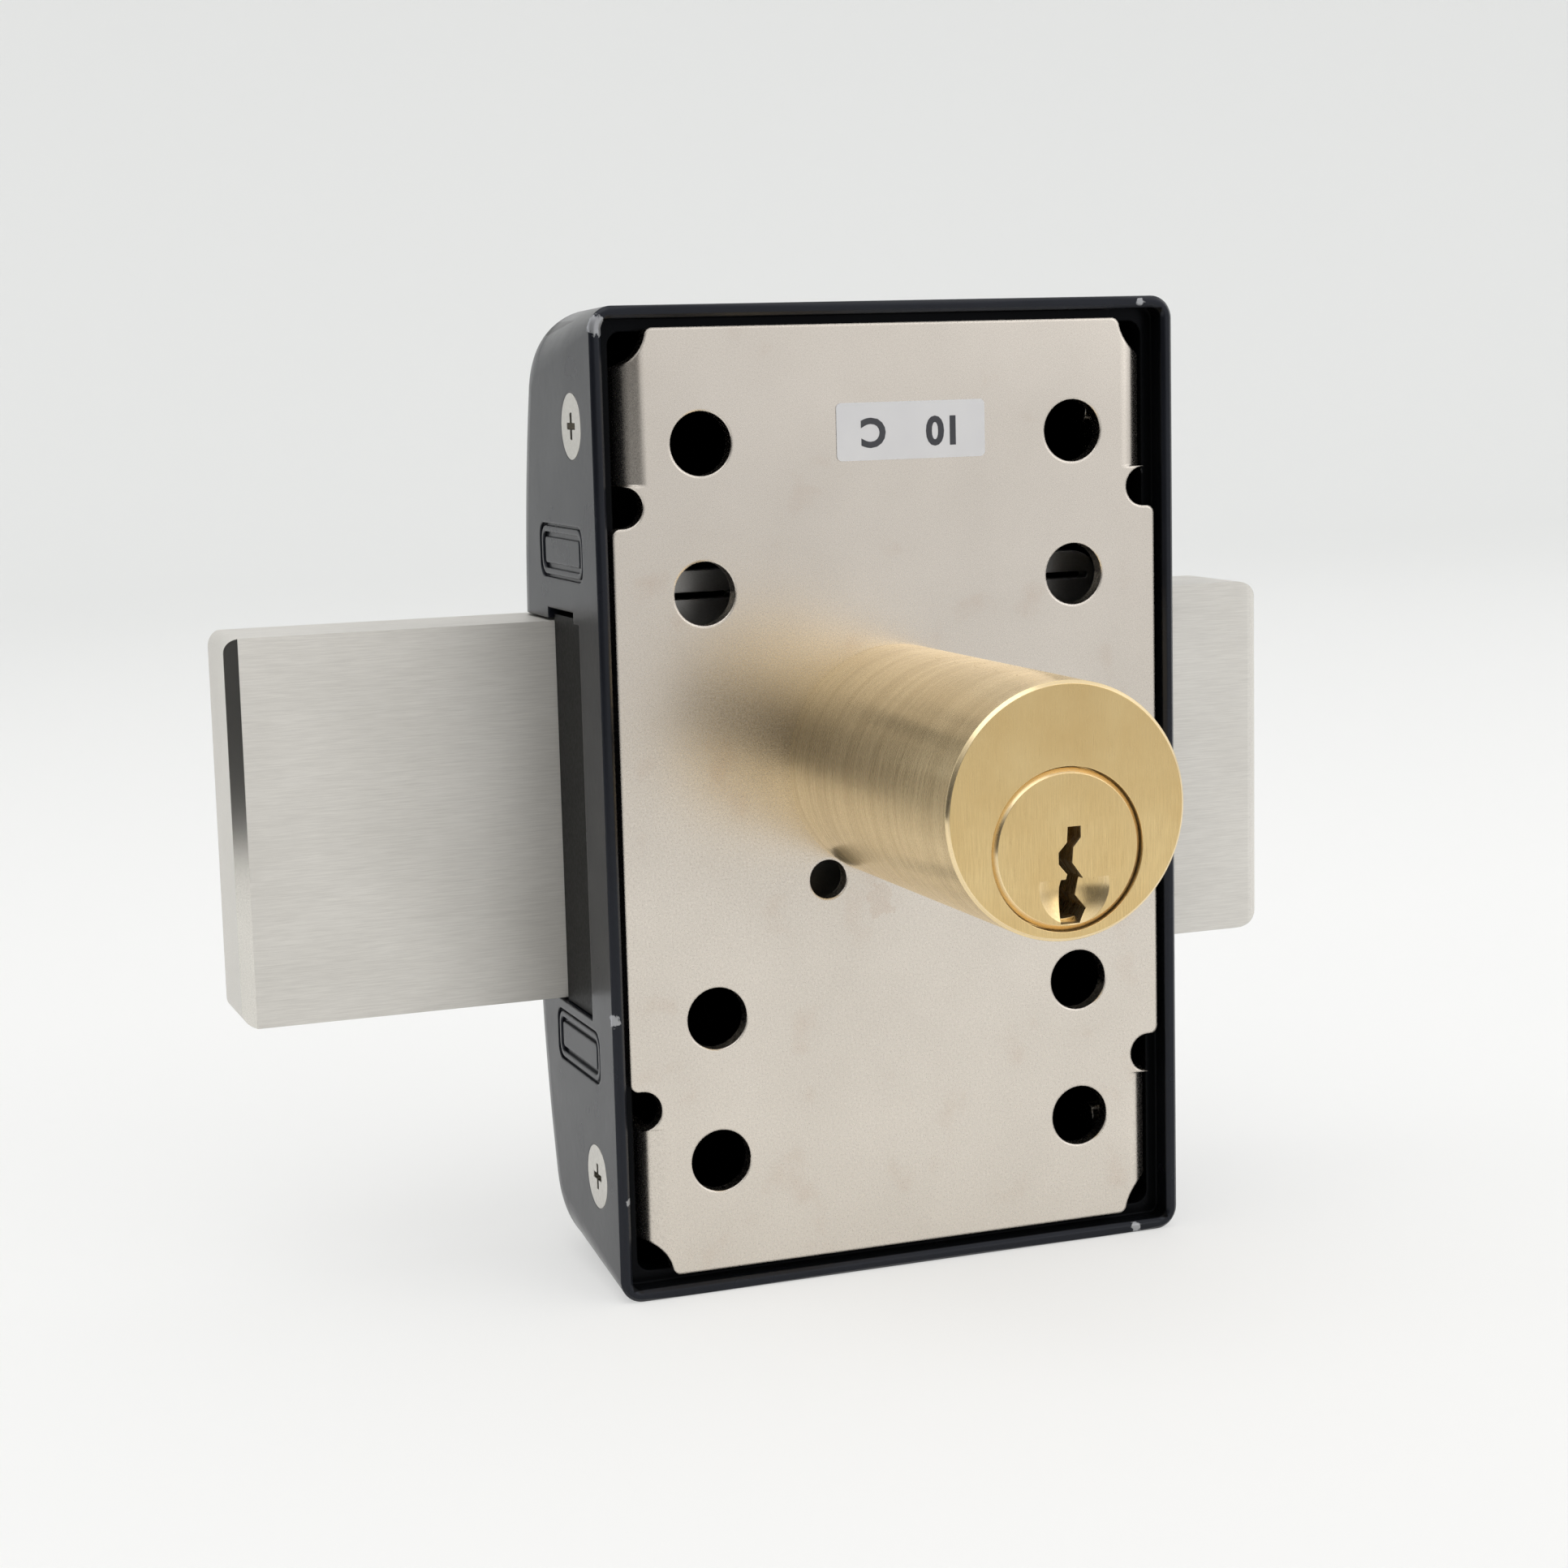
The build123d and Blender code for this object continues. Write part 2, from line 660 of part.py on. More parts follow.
def pinion_face():
    """The pinion's outline: involute flanks from the base circle out and radial ones below it."""
    base_r = pitch_r * math.cos(math.radians(pressure_angle))
    radii = [base_r + (pinion_tip_r - base_r) * step / (flank_points - 1) for step in range(flank_points)]
    tooth_turn = 2 * math.pi / pinion_teeth
    edges = []
    for tooth in range(pinion_teeth):
        middle = (tooth + 0.5) * tooth_turn - math.pi / 2

        def at(radius, turn):
            """A point of this tooth."""
            return (radius * math.cos(middle + turn), radius * math.sin(middle + turn))

        falling = [at(r, -tooth_half_angle(r)) for r in radii]
        rising = [at(r, tooth_half_angle(r)) for r in reversed(radii)]
        foot = tooth_half_angle(base_r)
        edges += [
            Line(at(pinion_root_r, -foot), falling[0]),
            Spline(*falling),
            Line(falling[-1], rising[0]),
            Spline(*rising),
            Line(rising[-1], at(pinion_root_r, foot)),
            Line(at(pinion_root_r, foot), at(pinion_root_r, tooth_turn - foot)),
        ]
    return make_face(edges)


def make_pinion_shaft():
    """The shaft in one piece: drive square, journal, pinion and the long stem to the knob."""
    shaft = slab(Rectangle(drive_square, drive_square), tail_disc_y, journal_start_y)
    shaft += rod(shaft_journal_r, journal_start_y, pinion_near_y)
    shaft += slab(pinion_face(), pinion_near_y, pinion_far_y)
    stem = rod(shaft_r, pinion_far_y, shaft_end_y)
    return shaft + chamfer(stem.edges().group_by(Axis.Y)[-1], seat_gap)


def make_tail_disc():
    """The driven half of the coupling, peened on the shaft's square."""
    disc = rod(cam_r, tail_disc_y, journal_start_y)
    disc += slab(sector(dog_inner_r, cam_r, 0, dog_angle), tail_disc_y - dog_height, tail_disc_y)
    square = Rectangle(drive_square + 2 * press_gap, drive_square + 2 * press_gap)
    return disc - slab(square, tail_disc_y - cut_overrun, journal_start_y + cut_overrun)


def make_turn_knob():
    """The knob: a round base and a tapered wing across it."""
    base = rod(knob_r, knob_y, knob_base_top_y)
    base = fillet(base.edges().group_by(Axis.Y)[-1], knob_edge_r)
    foot = Plane.XZ.offset(-knob_base_top_y + knob_edge_r) * RectangleRounded(
        knob_wing_width, knob_wing_length, knob_wing_width / 2 - press_gap)
    wing_top_width = knob_wing_width - 2 * knob_wing_side_taper
    top = Plane.XZ.offset(-knob_top_y) * RectangleRounded(
        wing_top_width, knob_wing_length - 2 * knob_wing_end_taper, wing_top_width / 2 - press_gap)
    wing = loft([foot, top], ruled=True)
    wing = fillet(wing.edges().group_by(Axis.Y)[-1], knob_edge_r)
    knob = base + wing
    knob -= rod(shaft_r + press_gap, knob_y - cut_overrun, shaft_end_y + press_gap)
    return knob - upright(grub_r + press_gap, shaft_r, knob_r + cut_overrun, 0, knob_y + knob_base_height / 2)


def make_grub_screw():
    """The grub screw that holds the knob to the shaft."""
    start = shaft_r + press_gap
    return upright(grub_r, start, start + grub_length, 0, knob_y + knob_base_height / 2)


# Bridge, bushes, guides and brake spring

def make_bridge_plate():
    """The bridge plate with its ears over the posts and a slit behind each upper fixing hole."""
    height = bridge_top_z - bridge_bottom_z
    outline = Pos(0, (bridge_top_z + bridge_bottom_z) / 2) * RectangleRounded(
        2 * bridge_half_width, height, bridge_corner_r)
    for x, z in post_rows:
        outer = abs(z) + bridge_ear_edge
        middle = math.copysign(outer / 2, z)
        outline += Pos(0, middle) * RectangleRounded(2 * (x + bridge_ear_edge), outer, bridge_corner_r)
    for side in (-1, 1):
        slit = SlotOverall(bridge_slit_length, bridge_slit_height)
        outline -= Pos(side * fixing_half_width, bridge_slit_z) * slit
    for x, z in posts:
        outline -= Pos(x, z) * Circle(machine_screw_r + seat_gap)
    outline -= Circle(bush_r + press_gap)
    return slab(outline, bridge_near_y, bridge_far_y)


def make_bridge_bush():
    """The flanged bush in the bridge plate."""
    bush = rod(bush_r, bridge_near_y, bridge_far_y)
    bush += rod(bush_r + bush_flange_wall - bush_wall, bridge_near_y - bush_flange_thickness, bridge_near_y)
    return bush - rod(shaft_journal_r + running_gap, bridge_near_y - cut_overrun, bridge_far_y + cut_overrun)


def make_shaft_bush():
    """The flanged bush in the front of the case."""
    bush = rod(front_bush_r, cavity_y, boss_y)
    bush += rod(front_bush_flange_r, boss_y, washer_y)
    return bush - rod(shaft_r + running_gap, cavity_y - cut_overrun, washer_y + cut_overrun)


def make_knob_washer():
    """The plain washer between the front bush and the knob."""
    washer = rod(front_bush_flange_r, washer_y, washer_y + washer_thickness)
    return washer - rod(shaft_r + seat_gap, washer_y - cut_overrun, knob_y)


def make_guide():
    """The right bolt guide: a plate in the slot beside the bolt, held by a lip above and one below."""
    near = slot_near_y + sliding_gap
    far = bolt_near_y - sliding_gap / 2
    top = slot_relief_top_z - guide_slit
    outer_x = case_half_width - guide_recess
    low_z = slot_bottom_z + seat_gap
    high_z = slot_top_z - seat_gap
    guide = block((cavity_half_width, outer_x), (near, far), (low_z, high_z))
    guide += block((cavity_half_width, outer_x), (slot_relief_near_y + sliding_gap, far), (high_z, top))
    lip_x = (cavity_half_width - guide_flange_thickness, cavity_half_width)
    upper_lip = (slot_top_z - guide_lip_upper_root, slot_relief_top_z + guide_flange_lap)
    lower_lip = (slot_bottom_z - guide_flange_lap, slot_bottom_z + guide_lip_lower_root)
    return guide + block(lip_x, (near, far), upper_lip) + block(lip_x, (near, far), lower_lip)


def make_brake_spring():
    """A bowed strip between the upper posts and the bolt's upper edge."""
    end_z = upper_post_z - post_r - seat_gap
    low_z = bolt_top_z + sliding_gap + brake_spring_thickness
    near = bolt_near_y + (bolt_thickness - brake_spring_width) / 2
    upper_arc = ThreePointArc((-upper_post_x, end_z), (0, low_z), (upper_post_x, end_z))
    lower_arc = Pos(0, -brake_spring_thickness) * upper_arc
    ends = [Line((side * upper_post_x, end_z), (side * upper_post_x, end_z - brake_spring_thickness))
            for side in (-1, 1)]
    strip = make_face(upper_arc.edges() + lower_arc.edges() + ends)
    return slab(strip, near, near + brake_spring_width)


# Pin cylinder

def make_cylinder_body():
    """The round brass body, set off the key's axis, with the plug's bore and the pin chambers."""
    body = rod(cylinder_r, -cylinder_reach, plate_recess, 0, cylinder_offset_z)
    body = chamfer(body.edges().group_by(Axis.Y)[0], cylinder_edge_chamfer)
    body -= rod(plug_bore_r, -cylinder_reach - cut_overrun, plate_recess + cut_overrun)
    flange_end = plug_flange_thickness - cylinder_reach + running_gap
    body -= rod(plug_flange_r + plug_ring_gap, -cylinder_reach - cut_overrun, flange_end)
    top = cylinder_top_z + cut_overrun
    for y in pin_places:
        body -= upright(chamber_r, 0, top, 0, y)
        body -= upright(chamber_plug_r, chamber_plug_z, top, 0, y)
    for x, z in cylinder_screw_places:
        body -= rod(machine_screw_r + press_gap, plate_inner_y - cylinder_screw_depth,
                    plate_recess + cut_overrun, x, z)
    return body


def make_chamber_plugs():
    """Brass plugs that close the pin chambers, dressed flush with the round body."""
    blank_r = chamber_plug_r - press_gap
    blanks = Part() + [upright(blank_r, chamber_plug_z, cylinder_top_z, 0, y) for y in pin_places]
    return blanks & rod(cylinder_r, -cylinder_reach, plate_recess, 0, cylinder_offset_z)


def make_driver_pins():
    """The driver pins, held at the shear line."""
    return Part() + [upright(pin_r, shear_z, driver_top_z, 0, y) for y in pin_places]


def make_pin_springs():
    """The pin springs, as plain sleeves of the springs' size."""
    sleeve = slab_up(Circle(pin_r) - Circle(pin_r - pin_spring_wall), driver_top_z, pin_spring_top_z)
    return Part() + [Pos(0, y, 0) * sleeve for y in pin_places]


def make_key_pins():
    """The pointed key pins in the plug, each of its own length."""
    pins = []
    for y, share in zip(pin_places, key_pin_length_shares):
        point_z = key_pin_top_z - share * key_pin_full_length
        shoulder_z = point_z + key_pin_point
        pin = upright(pin_r, shoulder_z, key_pin_top_z, 0, y)
        tip = Cone(pin_r / 2, pin_r, key_pin_point, align=(Align.CENTER, Align.CENTER, Align.MIN))
        pins.append(pin + Pos(0, y, point_z) * tip)
    return Part() + pins


def keyway_outline():
    """The wavy keyway seen from the front."""
    shares = keyway_left_shares + keyway_right_shares
    points = [(keyway_left_x + across * keyway_width, keyway_bottom_z + up * keyway_height)
              for across, up in shares]
    return make_face(Polyline(*points, close=True))


def make_plug():
    """The plug with its flange, keyway, key recess, pin chambers, clip groove and tongue."""
    plug = rod(plug_r, -cylinder_reach, plug_tail_y)
    flange = rod(plug_flange_r, -cylinder_reach, plug_flange_thickness - cylinder_reach)
    plug += chamfer(flange.edges().group_by(Axis.Y)[0], plug_flange_chamfer)
    dish_r = (key_recess_r ** 2 + key_recess_depth ** 2) / (2 * key_recess_depth)
    dish_y = key_recess_depth - cylinder_reach - dish_r
    recess_top_z = key_recess_centre_z + key_recess_top_step
    limit = block((-plug_flange_r, plug_flange_r), (dish_y, dish_y + dish_r), (recess_top_z - plug_flange_r,
                                                                            recess_top_z))
    plug -= Pos(key_recess_x, dish_y, key_recess_centre_z) * Sphere(dish_r) & limit
    plug -= slab(keyway_outline(), -cylinder_reach - cut_overrun, plug_tail_y - keyway_end_from_tail)
    for y in pin_places:
        plug -= upright(chamber_r, -pin_chamber_below_axis, plug_r + cut_overrun, 0, y)
    groove_y = (groove_near_y, groove_near_y + clip_thickness + seat_gap)
    groove = rod(plug_r + cut_overrun, *groove_y) - rod(plug_r - plug_groove_depth, *groove_y)
    plug -= groove
    plug += slab(Rectangle(tongue_length, tongue_width), plug_tail_y, plug_tail_y + tongue_height)
    screw_hole_start = cam_face_y - cam_screw_length - press_gap
    return plug - rod(machine_screw_r + press_gap, screw_hole_start, cam_face_y)


def make_plug_clip():
    """The open clip behind the cylinder, in the plug's groove."""
    start = groove_near_y + seat_gap / 2
    inner_r = plug_r - plug_groove_depth + press_gap
    clip = Circle(plug_r + clip_rim) - Circle(inner_r)
    mouth = 2 * inner_r * clip_mouth_share
    clip -= Pos(0, -plug_r) * Rectangle(mouth, 2 * plug_r)
    return slab(clip, start, start + clip_thickness)


def make_plug_cam():
    """The driving half of the coupling: a disc on the plug's tongue, with one dog."""
    cam = rod(cam_r, plug_tail_y, cam_face_y)
    cam += slab(sector(dog_inner_r, cam_r, -90, dog_angle), cam_face_y, cam_face_y + dog_height)
    cam -= slab(Rectangle(tongue_length + 2 * press_gap, tongue_width + 2 * press_gap),
                plug_tail_y - cut_overrun, plug_tail_y + tongue_height + press_gap)
    return cam - rod(machine_screw_r + press_gap, plug_tail_y - cut_overrun, cam_face_y + cut_overrun)


def make_cam_screw():
    """The screw that holds the cam to the plug."""
    screw = pan_screw(cam_screw_head_r, cam_screw_head_share * dog_height, cam_screw_length)
    return Plane((0, cam_face_y, 0), z_dir=(0, 1, 0)) * screw


makers = {
    "case": make_case,
    "back_plate": make_back_plate,
    "label": make_label,
    "side_screws": make_side_screws,
    "bolt_guide_right": make_guide,
    "bolt_guide_left": lambda: on_left(make_guide()),
    "bridge_plate": make_bridge_plate,
    "bridge_bush": make_bridge_bush,
    "bridge_screws": make_bridge_screws,
    "brake_spring": make_brake_spring,
    "shaft_bush": make_shaft_bush,
    "knob_washer": make_knob_washer,
    "cylinder_body": make_cylinder_body,
    "cylinder_screws": make_cylinder_screws,
    "driver_pins": make_driver_pins,
    "pin_springs": make_pin_springs,
    "chamber_plugs": make_chamber_plugs,
    "bolt": make_bolt,
    "rack": make_rack,
    "rack_rivets": make_rack_rivets,
    "pinion_shaft": make_pinion_shaft,
    "tail_disc": make_tail_disc,
    "turn_knob": make_turn_knob,
    "knob_grub_screw": make_grub_screw,
    "plug": make_plug,
    "key_pins": make_key_pins,
    "plug_clip": make_plug_clip,
    "plug_cam": make_plug_cam,
    "cam_screw": make_cam_screw,
}

os.makedirs("parts", exist_ok=True)
for name, maker in makers.items():
    export_step(maker(), f"parts/{name}.step")
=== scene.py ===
"""Rim box lock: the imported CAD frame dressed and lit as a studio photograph.

Each CAD node gets a procedural finish named for the real one. The bolt is replaced by one with crisp long
edges, and the pieces that CAD leaves out (badge borders and tablets, printed label text) are built here.
"""
import json
import logging
import math
from dataclasses import dataclass
from enum import Enum
from typing import Dict, List, Optional, Sequence, Tuple, Union

import bmesh
import bpy
from mathutils import Matrix, Vector


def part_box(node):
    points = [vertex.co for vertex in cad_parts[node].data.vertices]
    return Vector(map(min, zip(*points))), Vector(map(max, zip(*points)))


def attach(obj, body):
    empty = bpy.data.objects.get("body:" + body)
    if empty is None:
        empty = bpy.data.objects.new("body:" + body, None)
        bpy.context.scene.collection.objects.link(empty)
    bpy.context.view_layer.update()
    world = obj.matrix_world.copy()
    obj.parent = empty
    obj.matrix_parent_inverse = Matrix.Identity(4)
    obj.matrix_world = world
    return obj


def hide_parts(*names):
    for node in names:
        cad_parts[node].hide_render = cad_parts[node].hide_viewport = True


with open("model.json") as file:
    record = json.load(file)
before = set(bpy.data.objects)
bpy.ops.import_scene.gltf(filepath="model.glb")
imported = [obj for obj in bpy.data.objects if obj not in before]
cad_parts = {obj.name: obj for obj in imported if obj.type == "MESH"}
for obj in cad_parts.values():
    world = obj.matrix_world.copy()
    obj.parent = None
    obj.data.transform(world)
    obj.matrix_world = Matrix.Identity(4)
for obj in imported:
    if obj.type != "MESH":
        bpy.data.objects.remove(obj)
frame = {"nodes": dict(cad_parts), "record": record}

LOG = logging.getLogger("rim_box_lock")
MM = 0.001
TINY = 1e-4
SHARP_TURN = (0.995, 0.8)
ROOM_LIGHT = ((0.0, 0.72), (0.08, 1.05), (0.55, 1.1), (0.75, 0.95), (1.0, 0.95))
GLOOM_LIGHT = ((0.0, 0.17), (0.28, 0.19), (0.5, 0.95))
Colour = Tuple[float, float, float, float]
Value = Union[float, Sequence[float], bpy.types.NodeSocket]


class Grain(Enum):
    """Which way the fine lines of a metal surface run, as stretch factors along X, Y and Z."""

    EVEN = (1.0, 1.0, 1.0)
    UPRIGHT = (1.0, 1.0, 26.0)
    LENGTHWISE = (26.0, 1.0, 1.0)
    AROUND_KEY_AXIS = (30.0, 1.0, 30.0)


class Body(Enum):
    """The moving bodies of the frame that the added pieces ride on."""

    ROOT = "root"
    BOLT = "bolt_unit"


def srgb(code: str) -> Colour:
    """Turns a hex colour into linear light.

    Args:
        code: Six hex digits, with or without a leading hash.

    Returns:
        The linear red, green, blue and an alpha of one.
    """
    digits = code.lstrip("#")
    parts = [int(digits[place:place + 2], 16) / 255 for place in (0, 2, 4)]
    linear = [part / 12.92 if part <= 0.04045 else ((part + 0.055) / 1.055) ** 2.4 for part in parts]
    return (linear[0], linear[1], linear[2], 1.0)


class Nodes:
    """A node tree, built from short calls."""

    def __init__(self, tree: bpy.types.NodeTree) -> None:
        """Takes over a tree.

        Args:
            tree: The tree that nodes are added to.
        """
        self.tree = tree

    def add(self, kind: str, inputs: Optional[Dict[Union[str, int], Value]] = None,
            **settings: object) -> bpy.types.Node:
        """Adds a node.

        Args:
            kind: The node's type without its ShaderNode prefix.
            inputs: Socket names or numbers with a constant or the socket that feeds them.
            **settings: Properties of the node itself.

        Returns:
            The new node.
        """
        node = self.tree.nodes.new("ShaderNode" + kind)
        for name, value in settings.items():
            setattr(node, name, value)
        for key, value in (inputs or {}).items():
            self.feed(node.inputs[key], value)
        return node

    def feed(self, socket: bpy.types.NodeSocket, value: Value) -> None:
        """Sets or links one input socket.

        Args:
            socket: The input.
            value: A constant or an output socket.
        """
        if isinstance(value, bpy.types.NodeSocket):
            self.tree.links.new(value, socket)
        else:
            socket.default_value = value

    def between(self, value: Value, low: float, high: float, to_low: float = 0.0,
                to_high: float = 1.0) -> bpy.types.NodeSocket:
        """Maps a range to another, clamped at both ends.

        Args:
            value: What is mapped.
            low: The value that gives to_low.
            high: The value that gives to_high.
            to_low: The result at the low end.
            to_high: The result at the high end.

        Returns:
            The mapped value.
        """
        return self.add("MapRange", {"Value": value, "From Min": low, "From Max": high, "To Min": to_low,
                                     "To Max": to_high}).outputs[0]

    def maths(self, operation: str, first: Value, second: Value = 0.0) -> bpy.types.NodeSocket:
        """Does one sum.

        Args:
            operation: The sum's name, such as MULTIPLY.
            first: The first value.
            second: The second value.

        Returns:
            The result.
        """
        return self.add("Math", {0: first, 1: second}, operation=operation).outputs[0]

    def blend(self, share: Value, first: Value, second: Value) -> bpy.types.NodeSocket:
        """Mixes two colours.

        Args:
            share: How much of the second colour shows.
            first: The first colour.
            second: The second colour.

        Returns:
            The mixed colour.
        """
        return self.add("Mix", {0: share, 6: first, 7: second}, data_type="RGBA").outputs[2]

    def ramp(self, value: Value, stops: Sequence[Tuple[float, float]]) -> bpy.types.NodeSocket:
        """Adds a grey ramp.

        Args:
            value: What is looked up, from 0 to 1.
            stops: Places and their linear grey.

        Returns:
            The ramp's colour.
        """
        ramp = self.add("ValToRGB", {0: value})
        while len(ramp.color_ramp.elements) < len(stops):
            ramp.color_ramp.elements.new(0.5)
        for element, (place, grey) in zip(ramp.color_ramp.elements, stops):
            element.position = place
            element.color = (grey, grey, grey * 1.01, 1.0)
        return ramp.outputs[0]


class Surface(Nodes):
    """One surface material on the standard shader."""

    def __init__(self, name: str) -> None:
        """Makes the material.

        Args:
            name: The material's name.
        """
        self.material = bpy.data.materials.new(name)
        self.material.use_nodes = True
        super().__init__(self.material.node_tree)
        self.shader = self.tree.nodes["Principled BSDF"]
        self._position: Optional[bpy.types.NodeSocket] = None

    def set(self, **inputs: Value) -> None:
        """Sets inputs of the surface shader.

        Args:
            **inputs: Socket names with underscores for spaces.
        """
        for name, value in inputs.items():
            self.feed(self.shader.inputs[name.replace("_", " ")], value)

    def position(self) -> bpy.types.NodeSocket:
        """Gives the place on the piece in metres.

        Returns:
            The object coordinates.
        """
        if self._position is None:
            self._position = self.add("TexCoord").outputs["Object"]
        return self._position

    def noise(self, size_mm: float, grain: Grain = Grain.EVEN, detail: float = 3.0,
              roughness: float = 0.55) -> bpy.types.NodeSocket:
        """Adds a cloud pattern of a real size.

        Args:
            size_mm: The size of one cell in millimetres.
            grain: The way in which the pattern is stretched.
            detail: The number of finer layers.
            roughness: How strong the finer layers are.

        Returns:
            The pattern, from 0 to 1.
        """
        scale = [1 / (size_mm * MM * stretch) for stretch in grain.value]
        place = self.add("Mapping", {"Vector": self.position(), "Scale": scale})
        pattern = self.add("TexNoise", {"Vector": place.outputs[0], "Scale": 1.0, "Detail": detail,
                                        "Roughness": roughness})
        return pattern.outputs["Fac"]

    def along(self, axis: int) -> bpy.types.NodeSocket:
        """Gives one coordinate of the place on the piece.

        Args:
            axis: 0, 1 or 2 for X, Y or Z.

        Returns:
            The coordinate in metres.
        """
        return self.add("SeparateXYZ", {0: self.position()}).outputs[axis]

    def near(self, place_mm: Sequence[float], radius_mm: float, ragged: Value) -> bpy.types.NodeSocket:
        """Marks a ragged spot round a place.

        Args:
            place_mm: The spot's middle, in millimetres.
            radius_mm: The spot's mean radius.
            ragged: A pattern from 0 to 1 that frays the spot.

        Returns:
            The mask, 1 inside the spot.
        """
        middle = [part * MM for part in place_mm]
        away = self.add("VectorMath", {0: self.position(), 1: middle}, operation="DISTANCE").outputs["Value"]
        reach = self.between(ragged, 0.25, 0.75, radius_mm * MM * 0.3, radius_mm * MM * 1.7)
        return self.between(self.maths("SUBTRACT", reach, away), 0.0, 0.15 * MM)

    def soft_edges(self, radius_mm: float) -> bpy.types.NodeSocket:
        """Gives normals that round the piece's edges.

        Args:
            radius_mm: The edge's radius.

        Returns:
            The rounded normal.
        """
        return self.add("Bevel", {"Radius": radius_mm * MM}, samples=6).outputs[0]

    def edge_mask(self, radius_mm: float) -> bpy.types.NodeSocket:
        """Marks where the piece has an outer or inner edge.

        Args:
            radius_mm: How far the mark reaches.

        Returns:
            The mask, near 1 on the edge.
        """
        rounded = self.soft_edges(radius_mm)
        flat = self.add("NewGeometry").outputs["True Normal"]
        turned = self.add("VectorMath", {0: rounded, 1: flat}, operation="DOT_PRODUCT").outputs["Value"]
        return self.between(turned, *SHARP_TURN)

    def relief(self, height: Value, depth_mm: float, normal: Optional[Value] = None,
               strength: float = 1.0) -> bpy.types.NodeSocket:
        """Turns a height into a bump.

        Args:
            height: The height, from 0 to 1.
            depth_mm: The height of 1 in millimetres.
            normal: The normal that the bump is added to.
            strength: How strongly the bump shows.

        Returns:
            The bumped normal.
        """
        inputs: Dict[Union[str, int], Value] = {
            "Height": height, "Distance": depth_mm * MM, "Strength": strength,
        }
        if normal is not None:
            inputs["Normal"] = normal
        return self.add("Bump", inputs).outputs[0]


@dataclass(frozen=True)
class Spot:
    """A small mark on a surface: a chip in the paint or a stain."""

    place: Tuple[float, float, float]
    radius: float


@dataclass(frozen=True)
class PowderCoat:
    """Black powder coat on a casting, with orange peel, small chips on the edges, and painted shade inward of
    the rim: there the coat is painted near black and shines less.
    """

    name: str
    colour: str = "#14161b"
    shade: str = "#181a20"
    painted_inner_shade: str = "#070809"
    bare: str = "#a3a4a6"
    rubbed: str = "#4c4c50"
    sheen_tint: str = "#e9edf8"
    roughness: float = 0.24
    index: float = 1.36
    wear: float = 0.35
    room: Optional[Tuple[float, float]] = None
    chips: Tuple[Spot, ...] = ()

    def painted_shade_walls(self, graph: Surface) -> Value:
        """Marks what lies inward of the rim, where shade is painted in.

        Args:
            graph: The material.

        Returns:
            The mask, 1 inward of the rim.
        """
        if self.room is None:
            return 0.0
        masks = []
        for axis, limit in zip((0, 2), self.room):
            away = graph.maths("ABSOLUTE", graph.along(axis))
            masks.append(graph.between(away, limit * MM, (limit + 0.1) * MM, 1.0, 0.0))
        return graph.maths("MULTIPLY", *masks)

    def build(self) -> bpy.types.Material:
        """Makes the material.

        Returns:
            The finished material.
        """
        graph = Surface(self.name)
        cloud = graph.noise(9.0)
        peel = graph.noise(0.9, detail=2.0)
        ragged = graph.noise(0.45, detail=5.0, roughness=0.7)
        edge = graph.edge_mask(0.35)
        spots = graph.between(graph.noise(1.6, detail=4.0), 0.71, 0.75)
        chipped = graph.maths("MULTIPLY", graph.maths("MULTIPLY", edge, spots), self.wear)
        for chip in self.chips:
            chipped = graph.maths("MAXIMUM", chipped, graph.near(chip.place, chip.radius, ragged))
        paint = graph.blend(graph.between(cloud, 0.35, 0.7), srgb(self.colour), srgb(self.shade))
        worn = graph.blend(graph.maths("MULTIPLY", edge, 0.04), paint, srgb(self.rubbed))
        # Painted shade: inward of the rim the coat is painted near black and given less shine, standing in for
        # the shade in the case's hollow.
        painted_shade_mask = self.painted_shade_walls(graph)
        graph.set(
            Base_Color=graph.blend(chipped, graph.blend(painted_shade_mask, worn, srgb(self.painted_inner_shade)), srgb(self.bare)),
            Metallic=graph.maths("MULTIPLY", chipped, 0.5),
            IOR=self.index,
            Specular_IOR_Level=graph.between(painted_shade_mask, 0.0, 1.0, 0.5, 0.12),
            Specular_Tint=srgb(self.sheen_tint),
            Roughness=graph.between(cloud, 0.3, 0.75, self.roughness - 0.04, self.roughness + 0.06),
            Normal=graph.relief(peel, 0.01, graph.soft_edges(0.3)),
        )
        return graph.material


